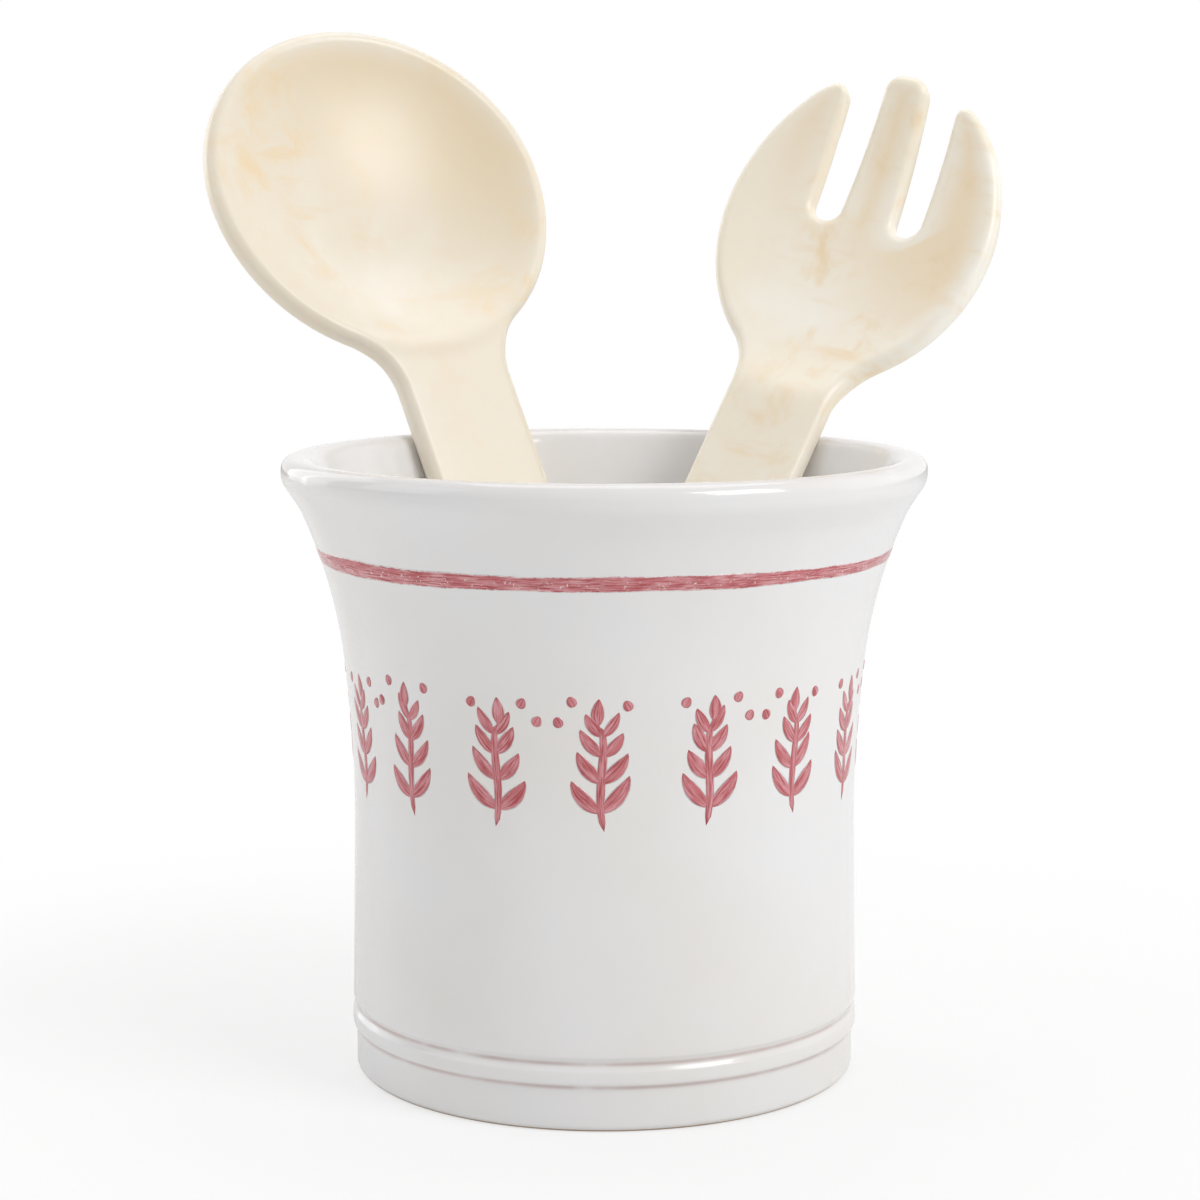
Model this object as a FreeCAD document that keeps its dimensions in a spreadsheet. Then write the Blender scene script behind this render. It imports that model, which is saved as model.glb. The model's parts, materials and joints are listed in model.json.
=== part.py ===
import FreeCAD, Part
import math
import os

import Sketcher

# A glazed pottery crock for kitchen utensils, with a serving spoon and a serving fork in it.
#
# Frame: millimetres, +Z up, origin on the crock's axis at the plane it stands on, -Y towards
# the side that carries the painting. The crock is thrown and turned, so it is a revolved wall
# with a revolved hollow. The spoon and the fork are cut from sheet and pressed: an outline,
# a dish of one radius and a short bend into the flat handle, all of one gauge.
# Each server has its own frame: +Z along the handle from its foot end, +X across it, and -Y
# out of the face that is dished.

SIZES = [
    # alias, millimetres or degrees, what it is
    ("crock_height", 153.4, "standing plane to crown of the lip"),
    ("rim_radius", 79.45, "axis to the outside of the lip"),
    ("lip_thickness", 6.9, "lip, outside to inside"),
    ("lip_height", 12.4, "crown to where the rolled lip leaves the flare"),
    ("lip_overhang", 4.4, "how far the lip stands out from there"),
    ("lip_face", 5.8, "crown to the corner under the lip"),
    ("lip_crown_round", 3.3, "round on the outside of the crown"),
    ("lip_inner_round", 4.1, "round on the inside of the crown"),
    ("lip_under_round", 6.0, "round under the lip"),
    ("lip_blend_round", 14.0, "hollow where the lip meets the flare"),
    ("flare_radius", 311.0, "slow start of the flare"),
    ("flare_height", 103.8, "standing plane to where the flare quickens"),
    ("waist_radius", 62.4, "narrowest place of the body"),
    ("waist_height", 61.0, "standing plane to the narrowest place"),
    ("shoulder_radius", 63.35, "body just above the foot band"),
    ("foot_radius", 62.3, "foot band"),
    ("foot_height", 10.2, "foot band, and the lower groove at its top"),
    ("foot_bevel", 1.3, "bevel around the bottom of the foot band"),
    ("bead_height", 6.4, "lower groove to upper groove"),
    ("groove_radius", 1.8, "section of the turned grooves"),
    ("groove_depth", 0.95, "how deep the grooves go"),
    ("wall", 6.5, "body wall"),
    ("floor_thickness", 8.0, "standing plane to the inside floor"),
    ("floor_round", 9.0, "inside corner between floor and wall"),
    ("recess_radius", 54.0, "hollow under the base"),
    ("recess_depth", 1.8, "its depth"),
    ("gauge", 6.5, "sheet that both servers are made of"),
    ("edge_round", 2.5, "rounding of the servers' edges"),
    ("clearance", 0.3, "gap kept between a server and the crock"),
    ("spoon_length", 284.8, "foot end to tip"),
    ("spoon_handle_width", 33.4, "across the handle"),
    ("spoon_neck_round", 20.4, "hollow between handle and bowl"),
    ("spoon_head_width", 99.5, "across the bowl"),
    ("spoon_head_reach", 47.7, "widest place of the bowl to the tip"),
    ("spoon_flank_radius", 52.2, "outline from neck to widest place"),
    ("spoon_cheek_radius", 43.7, "outline from widest place towards the tip"),
    ("spoon_dish_reach", 44.4, "middle of the dish to the tip"),
    ("spoon_dish_depth", 16.4, "handle's face down to the middle of the dish"),
    ("spoon_dish_radius", 92.0, "ball that the dish is pressed over"),
    ("spoon_bend_radius", 10.0, "bend from handle into dish, on the face"),
    ("spoon_bearing", 31.2, "where it leans on the lip, degrees from the rear to the left"),
    ("spoon_foot_across", 17.8, "middle of its foot end on the floor, to the right"),
    ("spoon_foot_back", 5.4, "middle of its foot end on the floor, to the rear"),
    ("spoon_roll", 0.0, "turn about its own length from lying flat on the lip, degrees"),
    ("fork_length", 285.5, "foot end to the middle tine's tip"),
    ("fork_handle_width", 28.9, "across the handle"),
    ("fork_neck_round", 22.2, "hollow between handle and head"),
    ("fork_head_width", 77.2, "across the head"),
    ("fork_head_reach", 44.4, "widest place of the head to the tip"),
    ("fork_flank_radius", 49.7, "outline from neck to widest place"),
    ("fork_cheek_radius", 51.5, "outline from widest place towards the tip"),
    ("fork_dish_reach", 57.4, "deepest place of the dish to the tip"),
    ("fork_dish_depth", 6.6, "handle's face down to the deepest place"),
    ("fork_dish_radius", 122.0, "ball that the dish is pressed over"),
    ("fork_bend_radius", 15.0, "bend from handle into dish, on the face"),
    ("fork_bearing", -40.6, "where it leans on the lip, degrees from the rear to the left"),
    ("fork_foot_across", -28.9, "middle of its foot end on the floor, to the right"),
    ("fork_foot_back", -23.6, "middle of its foot end on the floor, to the rear"),
    ("fork_roll", 16.8, "turn about its own length from lying flat on the lip, degrees"),
    ("slot_root_radius", 4.0, "round root between two tines"),
    ("slot_root_across", 12.0, "middle of the head to the middle of a root"),
    ("slot_depth", 42.0, "tip to the bottom of a slot"),
    ("slot_mouth_inner", 5.9, "middle of the head to the slot's inner side, at the tip"),
    ("slot_mouth_outer", 16.2, "middle of the head to the slot's outer side, at the tip"),
    ("middle_tine_round", 4.8, "corners of the middle tine's tip"),
    ("outer_tine_round", 2.9, "corners of the outer tines' tips"),
]

SPARE = 6.0          # how far a cutting shape runs past what it cuts
BLANK_HALF = 26.0    # half the depth of the blank that a server is cut from
NEAR = 0.02          # how closely an edge is matched when it is picked by place
SETTLED = 0.02       # how closely the gap that a server keeps is worked out


def vec(x, y, z=0.0):
    """A point of a sketch, or of space."""
    return FreeCAD.Vector(x, y, z)


class Sheet:
    """The spreadsheet of sizes, read by alias here and by expression in the features."""

    def __init__(self, doc):
        self.table = doc.addObject("Spreadsheet::Sheet", "Sizes")
        for row, (alias, value, note) in enumerate(SIZES, start=1):
            self.table.set("A%d" % row, alias)
            self.table.set("B%d" % row, str(value))
            self.table.set("C%d" % row, note)
            self.table.setAlias("B%d" % row, alias)
        doc.recompute()

    def __getitem__(self, alias):
        return float(self.table.get(alias))


def bound(text):
    """Turn the bare aliases of a formula into references to the sheet."""
    names = sorted((alias for alias, _, _ in SIZES), key=len, reverse=True)
    words = []
    for word in text.split():
        bare = word.strip("()")
        words.append(word.replace(bare, "Sizes." + bare) if bare in names else word)
    return " ".join(words)


class Outline:
    """A closed sketch of lines and arcs, each joined to the next and bound to the sheet."""

    def __init__(self, body, name, role, lift=None):
        self.sketch = body.newObject("Sketcher::SketchObject", name)
        plane = next(f for f in body.Origin.OriginFeatures if f.Role == role)
        self.sketch.AttachmentSupport = [(plane, "")]
        self.sketch.MapMode = "FlatFace"
        if lift:
            self.sketch.setExpression("AttachmentOffset.Base.y", bound(lift))
        self.pieces = []
        self.count = 0

    def line(self, a, b):
        index = self.sketch.addGeometry(Part.LineSegment(vec(*a), vec(*b)), False)
        self.pieces.append((index, 1, 2))

    def arc(self, centre, a, b, clockwise=False):
        first, last = (b, a) if clockwise else (a, b)
        radius = math.dist(centre, a)
        start = math.atan2(first[1] - centre[1], first[0] - centre[0])
        end = math.atan2(last[1] - centre[1], last[0] - centre[0])
        if end < start:
            end += 2 * math.pi
        circle = Part.Circle(vec(*centre), vec(0, 0, 1), radius)
        index = self.sketch.addGeometry(Part.ArcOfCircle(circle, start, end), False)
        self.pieces.append((index, 2, 1) if clockwise else (index, 1, 2))

    def circle(self, centre, radius):
        circle = Part.Circle(vec(*centre), vec(0, 0, 1), radius)
        self.pieces.append((self.sketch.addGeometry(circle, False), 3, 3))

    def rule(self, *terms):
        self.sketch.addConstraint(Sketcher.Constraint(*terms))

    def join(self, smooth=()):
        """Close the outline. The pieces named in smooth run into the next one tangentially."""
        for place, (index, _, last) in enumerate(self.pieces):
            after, first, _ = self.pieces[(place + 1) % len(self.pieces)]
            self.rule("Tangent" if place in smooth else "Coincident", index, last, after, first)

    def lie(self, direction, *places):
        for place in places:
            self.rule(direction, self.pieces[place][0])

    def on_axis(self, axis, place, end):
        self.rule("PointOnObject", self.pieces[place][0], self.pin(place, end), axis)

    def pin(self, place, end):
        return {"first": self.pieces[place][1], "last": self.pieces[place][2], "centre": 3}[end]

    def bind(self, formula, *terms):
        name = "size_%d" % self.count
        self.count += 1
        number = self.sketch.addConstraint(Sketcher.Constraint(*terms))
        self.sketch.renameConstraint(number, name)
        self.sketch.setExpression("Constraints." + name, bound(formula))

    def radius(self, place, formula, value):
        self.bind(formula, "Radius", self.pieces[place][0], value)

    def across(self, place, end, formula, value):
        self.bind(formula, "DistanceX", -1, 1, self.pieces[place][0], self.pin(place, end), value)

    def up(self, place, end, formula, value):
        self.bind(formula, "DistanceY", -1, 1, self.pieces[place][0], self.pin(place, end), value)


H_AXIS, V_AXIS = -1, -2


def spun(body, kind, outline, axis, angle=360.0):
    """A Revolution or a Groove of an outline about one of its sketch's axes."""
    feature = body.newObject("PartDesign::" + kind, kind)
    feature.Profile = outline.sketch
    feature.ReferenceAxis = (outline.sketch, [axis])
    feature.Angle = angle
    feature.Midplane = angle < 360.0
    return applied(body, feature)


def applied(body, feature):
    """Compute a feature and make sure that it changed the body."""
    before = feature.BaseFeature.Shape.Volume if feature.BaseFeature else 0.0
    feature.Document.recompute()
    if abs(feature.Shape.Volume - before) < 1e-3:
        raise RuntimeError("%s in %s changes nothing" % (feature.Name, body.Label))
    return feature


def rounded(body, edges, formula):
    """Round the given edges of the body's latest shape."""
    base = body.Tip
    names = ["Edge%d" % (n + 1) for n, edge in enumerate(base.Shape.Edges) if edges(edge)]
    if not names:
        raise RuntimeError("no edge of %s to round by %s" % (body.Label, formula))
    feature = body.newObject("PartDesign::Fillet", "Fillet")
    feature.Base = (base, names)
    feature.setExpression("Radius", bound(formula))
    return applied(body, feature)


def ring(radius, height):
    """Picks the circular edges of one radius about the crock's axis, at one height."""
    def test(edge):
        curve = edge.Curve
        if curve.TypeId != "Part::GeomCircle":
            return False
        centre = curve.Center
        off_axis = math.hypot(centre.x, centre.y)
        return (off_axis < NEAR and abs(curve.Radius - radius) < NEAR
                and abs(centre.z - height) < NEAR)
    return test


def circle_through(start, heading, end):
    """Centre of the arc that leaves start along heading, bends outwards and ends at end."""
    normal = (heading[1], -heading[0])
    chord = (end[0] - start[0], end[1] - start[1])
    reach = (chord[0] ** 2 + chord[1] ** 2) / (2 * (chord[0] * normal[0] + chord[1] * normal[1]))
    return (start[0] + reach * normal[0], start[1] + reach * normal[1])


def wall_arcs(foot, waist, flare, quicken, end):
    """Centres and joint of the two arcs that carry the wall from the waist to the lip."""
    length = math.dist(foot, waist)
    heading = ((waist[0] - foot[0]) / length, (waist[1] - foot[1]) / length)
    slow = (waist[0] + flare * heading[1], waist[1] - flare * heading[0])
    rise = (quicken - slow[1]) / flare
    joint = (slow[0] - flare * math.sqrt(1 - rise ** 2), quicken)
    quick = circle_through(joint, (rise, math.sqrt(1 - rise ** 2)), end)
    return slow, joint, quick


def hollow_points(size):
    """Corners of the hollow's section, and the centres of its two arcs."""
    mouth = (size["rim_radius"] - size["lip_thickness"], size["crock_height"])
    corner = (size["shoulder_radius"] - size["wall"], size["floor_thickness"])
    narrow = (size["waist_radius"] - size["wall"], size["waist_height"])
    flare = size["flare_radius"] + size["wall"]
    slow, joint, quick = wall_arcs(corner, narrow, flare, size["flare_height"], mouth)
    return corner, narrow, joint, mouth, slow, quick


def lip_ring(size):
    """Radius and height of the circle on which the round inside the lip is centred."""
    _, _, _, mouth, _, quick = hollow_points(size)
    inner = size["lip_inner_round"]
    height = mouth[1] - inner
    reach = math.dist(quick, mouth) - inner
    return quick[0] - math.sqrt(reach ** 2 - (quick[1] - height) ** 2), height


def make_crock(doc, size):
    """The crock: turned wall, hollow, foot ring, two grooves with a bead, and a rolled lip."""
    body = doc.addObject("PartDesign::Body", "Crock")
    body.Label = "crock"
    top = size["crock_height"]
    rim = size["rim_radius"]
    foot = (size["shoulder_radius"], size["foot_height"])
    waist = (size["waist_radius"], size["waist_height"])
    under = (rim - size["lip_overhang"], top - size["lip_height"])
    slow, joint, quick = wall_arcs(foot, waist, size["flare_radius"], size["flare_height"], under)

    wall = Outline(body, "WallSection", "XZ_Plane")
    bevel = size["foot_bevel"]
    wall.line((0, 0), (size["foot_radius"] - bevel, 0))
    wall.line((size["foot_radius"] - bevel, 0), (size["foot_radius"], bevel))
    wall.line((size["foot_radius"], bevel), (size["foot_radius"], foot[1]))
    wall.line((size["foot_radius"], foot[1]), foot)
    wall.line(foot, waist)
    wall.arc(slow, waist, joint, clockwise=True)
    wall.arc(quick, joint, under, clockwise=True)
    wall.line(under, (rim, top - size["lip_face"]))
    wall.line((rim, top - size["lip_face"]), (rim, top))
    wall.line((rim, top), (0, top))
    wall.line((0, top), (0, 0))
    wall.join(smooth=(4, 5))
    wall.lie("Horizontal", 0, 3, 9)
    wall.lie("Vertical", 2, 8, 10)
    wall.rule("Coincident", 0, 1, -1, 1)
    wall.across(0, "last", "foot_radius - foot_bevel", size["foot_radius"] - bevel)
    wall.up(1, "last", "foot_bevel", bevel)
    wall.across(2, "last", "foot_radius", size["foot_radius"])
    wall.up(2, "last", "foot_height", foot[1])
    wall.across(4, "first", "shoulder_radius", foot[0])
    wall.across(4, "last", "waist_radius", waist[0])
    wall.up(4, "last", "waist_height", waist[1])
    wall.radius(5, "flare_radius", size["flare_radius"])
    wall.up(5, "last", "flare_height", joint[1])
    wall.across(6, "last", "rim_radius - lip_overhang", under[0])
    wall.up(6, "last", "crock_height - lip_height", under[1])
    wall.across(7, "last", "rim_radius", rim)
    wall.up(7, "last", "crock_height - lip_face", top - size["lip_face"])
    wall.up(8, "last", "crock_height", top)
    spun(body, "Revolution", wall, "V_Axis")

    corner, narrow, joint, mouth, slow, quick = hollow_points(size)
    inner_flare = size["flare_radius"] + size["wall"]
    hollow = Outline(body, "HollowSection", "XZ_Plane")
    hollow.line((0, corner[1]), corner)
    hollow.line(corner, narrow)
    hollow.arc(slow, narrow, joint, clockwise=True)
    hollow.arc(quick, joint, mouth, clockwise=True)
    hollow.line(mouth, (mouth[0], top + SPARE))
    hollow.line((mouth[0], top + SPARE), (0, top + SPARE))
    hollow.line((0, top + SPARE), (0, corner[1]))
    hollow.join(smooth=(1, 2))
    hollow.lie("Horizontal", 0, 5)
    hollow.lie("Vertical", 4)
    hollow.on_axis(V_AXIS, 6, "first")
    hollow.on_axis(V_AXIS, 6, "last")
    hollow.up(0, "last", "floor_thickness", corner[1])
    hollow.across(0, "last", "shoulder_radius - wall", corner[0])
    hollow.across(1, "last", "waist_radius - wall", narrow[0])
    hollow.up(1, "last", "waist_height", narrow[1])
    hollow.radius(2, "flare_radius + wall", inner_flare)
    hollow.up(2, "last", "flare_height", joint[1])
    hollow.across(3, "last", "rim_radius - lip_thickness", mouth[0])
    hollow.up(3, "last", "crock_height", top)
    hollow.up(4, "last", "crock_height + %s" % SPARE, top + SPARE)
    spun(body, "Groove", hollow, "V_Axis")

    slope = "( waist_radius - shoulder_radius ) / ( waist_height - foot_height )"
    rise = (waist[0] - foot[0]) / (waist[1] - foot[1])
    out = size["groove_radius"] - size["groove_depth"]
    grooves = Outline(body, "GrooveSections", "XZ_Plane")
    for number, formula in enumerate(("0", "bead_height")):
        lift = number * size["bead_height"]
        grooves.circle((foot[0] + rise * lift + out, foot[1] + lift), size["groove_radius"])
        grooves.radius(number, "groove_radius", size["groove_radius"])
        grooves.across(number, "centre", "shoulder_radius + %s * %s + groove_radius - groove_depth"
                       % (slope, formula), foot[0] + rise * lift + out)
        grooves.up(number, "centre", "foot_height + %s" % formula, foot[1] + lift)
    spun(body, "Groove", grooves, "V_Axis")

    recess = Outline(body, "RecessOutline", "XY_Plane")
    recess.circle((0, 0), size["recess_radius"])
    recess.rule("Coincident", 0, 3, -1, 1)
    recess.radius(0, "recess_radius", size["recess_radius"])
    pocket = body.newObject("PartDesign::Pocket", "Recess")
    pocket.Profile = recess.sketch
    pocket.Reversed = True
    pocket.setExpression("Length", bound("recess_depth"))
    applied(body, pocket)

    rounded(body, ring(corner[0], corner[1]), "floor_round")
    rounded(body, ring(under[0], under[1]), "lip_blend_round")
    rounded(body, ring(rim, top - size["lip_face"]), "lip_under_round")
    rounded(body, ring(rim, top), "lip_crown_round")
    rounded(body, ring(mouth[0], top), "lip_inner_round")
    return body


def server_outline(body, size, name):
    """Half of a server's outline, as a sketch: foot end, handle, neck, flank, cheek and tip."""
    handle = size[name + "_handle_width"] / 2
    head = size[name + "_head_width"] / 2
    length = size[name + "_length"]
    widest = length - size[name + "_head_reach"]
    neck_r = size[name + "_neck_round"]
    flank_r = size[name + "_flank_radius"]
    cheek_r = size[name + "_cheek_radius"]
    flank_c = (head - flank_r, widest)
    cheek_c = (head - cheek_r, widest)
    # The neck's round touches the handle's side and, from outside, the flank's circle.
    neck_x = handle + neck_r
    drop = math.sqrt((flank_r + neck_r) ** 2 - (neck_x - flank_c[0]) ** 2)
    neck_c = (neck_x, widest - drop)
    share = flank_r / (flank_r + neck_r)
    neck_end = (flank_c[0] + (neck_x - flank_c[0]) * share, widest - drop * share)
    # The tip's round stands on the middle line and touches the cheek's circle from inside.
    reach = length - widest
    tip_r = (cheek_r ** 2 - cheek_c[0] ** 2 - reach ** 2) / (2 * (cheek_r - reach))
    tip_c = (0, length - tip_r)
    apart = math.dist(cheek_c, tip_c)
    away = cheek_r / apart if cheek_r > tip_r else -cheek_r / apart
    cheek_end = (cheek_c[0] + (tip_c[0] - cheek_c[0]) * away,
                 cheek_c[1] + (tip_c[1] - cheek_c[1]) * away)

    half = Outline(body, "HalfOutline", "XZ_Plane")
    half.arc((0, handle), (0, 0), (handle, handle))
    half.line((handle, handle), (handle, neck_c[1]))
    half.arc(neck_c, (handle, neck_c[1]), neck_end, clockwise=True)
    half.arc(flank_c, neck_end, (head, widest))
    half.arc(cheek_c, (head, widest), cheek_end)
    half.arc(tip_c, cheek_end, (0, length))
    half.line((0, length), (0, 0))
    half.join(smooth=(0, 1, 2, 3, 4))
    half.rule("Coincident", 6, 2, -1, 1)
    half.on_axis(V_AXIS, 6, "first")
    half.on_axis(V_AXIS, 0, "centre")
    half.on_axis(V_AXIS, 5, "centre")
    half.lie("Vertical", 1)
    half.across(0, "last", "%s_handle_width / 2" % name, handle)
    half.radius(2, "%s_neck_round" % name, neck_r)
    half.radius(3, "%s_flank_radius" % name, flank_r)
    half.radius(4, "%s_cheek_radius" % name, cheek_r)
    half.across(3, "last", "%s_head_width / 2" % name, head)
    half.up(3, "last", "{0}_length - {0}_head_reach".format(name), widest)
    half.up(3, "centre", "{0}_length - {0}_head_reach".format(name), widest)
    half.up(6, "first", "%s_length" % name, length)
    return half


def press(body, size, name, face, side):
    """Cut one face of a server's blank to the pressed form, over the handle's or tip's half.

    The section, in the plane of the middle line, is an arc about the dish's middle. On the
    handle's side it runs through the bend's arc into the flat handle, and on the tip's side it
    goes on past the tip. The back's arcs share the face's centres, one gauge further out.
    """
    gauge = size["gauge"]
    depth = size[name + "_dish_depth"]
    reach = size[name + "_dish_reach"]
    ball = size[name + "_dish_radius"]
    bend = size[name + "_bend_radius"]
    back = face == "back"
    outer = gauge if back else 0.0
    far = (1 if back else -1) * (BLANK_HALF + SPARE)
    middle = depth - gauge / 2 + outer
    flat = gauge / 2 if back else -gauge / 2
    ball_c = (depth - gauge / 2 - ball, 0)
    ball_formula = "{0}_dish_radius + gauge" if back else "{0}_dish_radius"
    middle_formula = "{0}_dish_depth + gauge / 2" if back else "{0}_dish_depth - gauge / 2"

    cut = Outline(body, face.title() + side.title(), "YZ_Plane",
                  lift="{0}_length - {0}_dish_reach".format(name))
    if side == "handle":
        bend_out = math.sqrt((ball + bend) ** 2 - (ball + bend - depth) ** 2)
        bend_c = (bend - gauge / 2, -bend_out)
        share = (ball + outer) / (ball + bend)
        touch = (ball_c[0] + (bend_c[0] - ball_c[0]) * share, -bend_out * share)
        end = size[name + "_length"] - reach + SPARE
        cut.arc(ball_c, (middle, 0), touch, clockwise=True)
        cut.arc(bend_c, touch, (flat, -bend_out))
        cut.line((flat, -bend_out), (flat, -end))
        cut.line((flat, -end), (far, -end))
        cut.line((far, -end), (far, 0))
        cut.line((far, 0), (middle, 0))
        cut.join(smooth=(0, 1))
        cut.lie("Vertical", 2, 4)
        cut.lie("Horizontal", 3)
        bend_formula = "{0}_bend_radius - gauge" if back else "{0}_bend_radius"
        cut.radius(1, bend_formula.format(name), bend - outer)
        cut.across(2, "last", "gauge / 2" if back else "0 - gauge / 2", flat)
        cut.up(3, "last", "{0}_dish_reach - {0}_length - {1}".format(name, SPARE), -end)
    else:
        end = reach + SPARE
        edge = ball_c[0] + math.sqrt((ball + outer) ** 2 - end ** 2)
        cut.arc(ball_c, (middle, 0), (edge, end))
        cut.line((edge, end), (far, end))
        cut.line((far, end), (far, 0))
        cut.line((far, 0), (middle, 0))
        cut.join()
        cut.lie("Horizontal", 1)
        cut.lie("Vertical", 2)
        cut.up(1, "last", "%s_dish_reach + %s" % (name, SPARE), end)
    last = len(cut.pieces) - 1
    cut.on_axis(H_AXIS, last, "first")
    cut.on_axis(H_AXIS, last, "last")
    cut.on_axis(H_AXIS, 0, "centre")
    cut.radius(0, ball_formula.format(name), ball + outer)
    cut.across(0, "first", middle_formula.format(name), middle)
    cut.across(last, "first", str(far), far)
    return spun(body, "Groove", cut, "H_Axis", 180.0)


def mirrored(body, feature):
    """Repeat a feature on the other side of a server's middle line."""
    plane = next(f for f in body.Origin.OriginFeatures if f.Role == "YZ_Plane")
    mirror = body.newObject("PartDesign::Mirrored", "Mirrored")
    mirror.Originals = [feature]
    mirror.MirrorPlane = (plane, [""])
    body.Tip = mirror
    return applied(body, mirror)


def cut_slots(body, size):
    """Cut the two slots that part the fork's three tines, and round the tines' tips."""
    length = size["fork_length"]
    root_r = size["slot_root_radius"]
    across = size["slot_root_across"]
    root = (across, length - size["slot_depth"] + root_r)
    top = length + SPARE

    def touch(mouth, side):
        """Where the line from a point of the mouth touches the root's circle."""
        gap = (root[0] - mouth[0], root[1] - mouth[1])
        apart = math.hypot(*gap)
        turn = math.acos(root_r / apart)
        angle = math.atan2(-gap[1], -gap[0]) + side * turn
        return (root[0] + root_r * math.cos(angle), root[1] + root_r * math.sin(angle))

    inner = (size["slot_mouth_inner"], length)
    outer = (size["slot_mouth_outer"], length)
    inner_foot, outer_foot = touch(inner, 1), touch(outer, -1)

    def beyond(foot, mouth):
        """The side's end, a little past the mouth."""
        grow = (top - foot[1]) / (mouth[1] - foot[1])
        return (foot[0] + (mouth[0] - foot[0]) * grow, top)

    inner_end, outer_end = beyond(inner_foot, inner), beyond(outer_foot, outer)
    slot = Outline(body, "SlotOutline", "XZ_Plane")
    slot.arc(root, inner_foot, outer_foot)
    slot.line(outer_foot, outer_end)
    slot.line(outer_end, inner_end)
    slot.line(inner_end, inner_foot)
    slot.join(smooth=(0, 3))
    slot.lie("Horizontal", 2)
    slot.radius(0, "slot_root_radius", root_r)
    slot.across(0, "centre", "slot_root_across", across)
    slot.up(0, "centre", "fork_length - slot_depth + slot_root_radius", root[1])
    slot.up(2, "first", "fork_length + %s" % SPARE, top)
    slot.across(2, "first", "slot_mouth_outer", outer_end[0])
    slot.across(2, "last", "slot_mouth_inner", inner_end[0])
    pocket = body.newObject("PartDesign::Pocket", "Slot")
    pocket.Profile = slot.sketch
    pocket.Type = "ThroughAll"
    pocket.SideType = "Symmetric"
    applied(body, pocket)
    mirrored(body, pocket)

    def tip_corner(low, high):
        """Picks the corner edges at the tines' tips whose distance from the middle is between."""
        def test(edge):
            ends = [v.Point for v in edge.Vertexes]
            if len(ends) != 2 or abs(ends[0].z - ends[1].z) > NEAR:
                return False
            if abs(ends[0].x - ends[1].x) > NEAR or edge.Length < 1:
                return False
            return ends[0].z > length - size["slot_depth"] / 2 and low < abs(ends[0].x) < high
        return test

    rounded(body, tip_corner(0, across), "middle_tine_round")
    rounded(body, tip_corner(across, across + 4 * root_r), "outer_tine_round")


def make_server(doc, size, name):
    """One server: its outline as a thick blank, both faces cut to the pressed form, edges round."""
    body = doc.addObject("PartDesign::Body", name.title())
    body.Label = "serving_" + name
    half = server_outline(body, size, name)
    blank = body.newObject("PartDesign::Pad", "Blank")
    blank.Profile = half.sketch
    blank.SideType = "Symmetric"
    blank.Length = 2 * BLANK_HALF
    applied(body, blank)
    mirrored(body, blank)
    for face in ("front", "back"):
        for side in ("handle", "tip"):
            press(body, size, name, face, side)
    if name == "fork":
        cut_slots(body, size)

    def rim(edge):
        """Picks the edges where the sheet's outline meets one of its two faces."""
        walls = 0
        for side in body.Tip.Shape.ancestorsOfType(edge, Part.Face):
            low, high = side.ParameterRange[0], side.ParameterRange[2]
            normal = side.normalAt((low + side.ParameterRange[1]) / 2,
                                   (high + side.ParameterRange[3]) / 2)
            walls += abs(normal.y) < NEAR
        return walls == 1

    rounded(body, rim, "edge_round")
    return body


def gap_to_lip(size, point, along):
    """Distance from a straight line to the circle that the lip's inner round is turned on."""
    radius, height = lip_ring(size)

    def away(shift):
        at = point + along * shift
        return math.hypot(math.hypot(at.x, at.y) - radius, at.z - height)

    low, high = -size["rim_radius"], size["rim_radius"]
    for _ in range(80):
        step = (high - low) / 3
        if away(low + step) < away(high - step):
            high -= step
        else:
            low += step
    return away((low + high) / 2)


def rest_pose(size, name, ease):
    """Where a server rests: foot end on the floor, back on the lip, the named gap off both.

    Ease is how much further off the lip it stands, for a server that meets the pot elsewhere.
    """
    gauge, edge = size["gauge"], size["edge_round"]
    half = size[name + "_handle_width"] / 2
    bearing = math.radians(size[name + "_bearing"])
    outward = vec(-math.sin(bearing), math.cos(bearing))
    tangent = vec(math.cos(bearing), math.sin(bearing))
    foot = vec(size[name + "_foot_across"], size[name + "_foot_back"], size["floor_thickness"])
    lip_height = size["crock_height"] - size["lip_inner_round"]
    lean = size["rim_radius"] - size["lip_thickness"] - gauge
    for _ in range(60):
        on_lip = outward * lean + vec(0, 0, lip_height)
        along = (on_lip - foot).normalize()
        face = tangent.cross(along).normalize()
        if face.y > 0:
            face = face * -1
        face = FreeCAD.Rotation(along, size[name + "_roll"]).multVec(face)
        side = face.cross(along) * -1
        gaps = [gap_to_lip(size, on_lip + side * (half - edge) * turn - face * (gauge / 2 - edge),
                           along) - size["lip_inner_round"] - edge for turn in (-1, 1)]
        lean += min(gaps) - size["clearance"] - ease
        # The foot end is a half disc with a round edge: this is how far its lowest point
        # lies below the disc's centre.
        low = ((half - edge) * math.hypot(along.z, side.z)
               + (gauge / 2 - edge) * abs(face.z) + edge)
        foot.z = size["floor_thickness"] + size["clearance"] + low - half * along.z
    turn = FreeCAD.Rotation(side, face * -1, along, "XYZ")
    return FreeCAD.Placement(foot, turn)


def settle(size, name, body, crock):
    """Lean a server back until it is the named gap off whatever it meets first in the crock."""
    def stands_clear(ease):
        body.Placement = rest_pose(size, name, ease)
        return body.Shape.distToShape(crock.Shape)[0] > size["clearance"] - SETTLED

    low = high = 0.0
    for _ in range(60):
        if stands_clear(high):
            break
        low, high = high, high + size["gauge"] / 2
    while high - low > SETTLED:
        middle = (low + high) / 2
        if stands_clear(middle):
            high = middle
        else:
            low = middle
    body.Placement = rest_pose(size, name, high)


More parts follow.
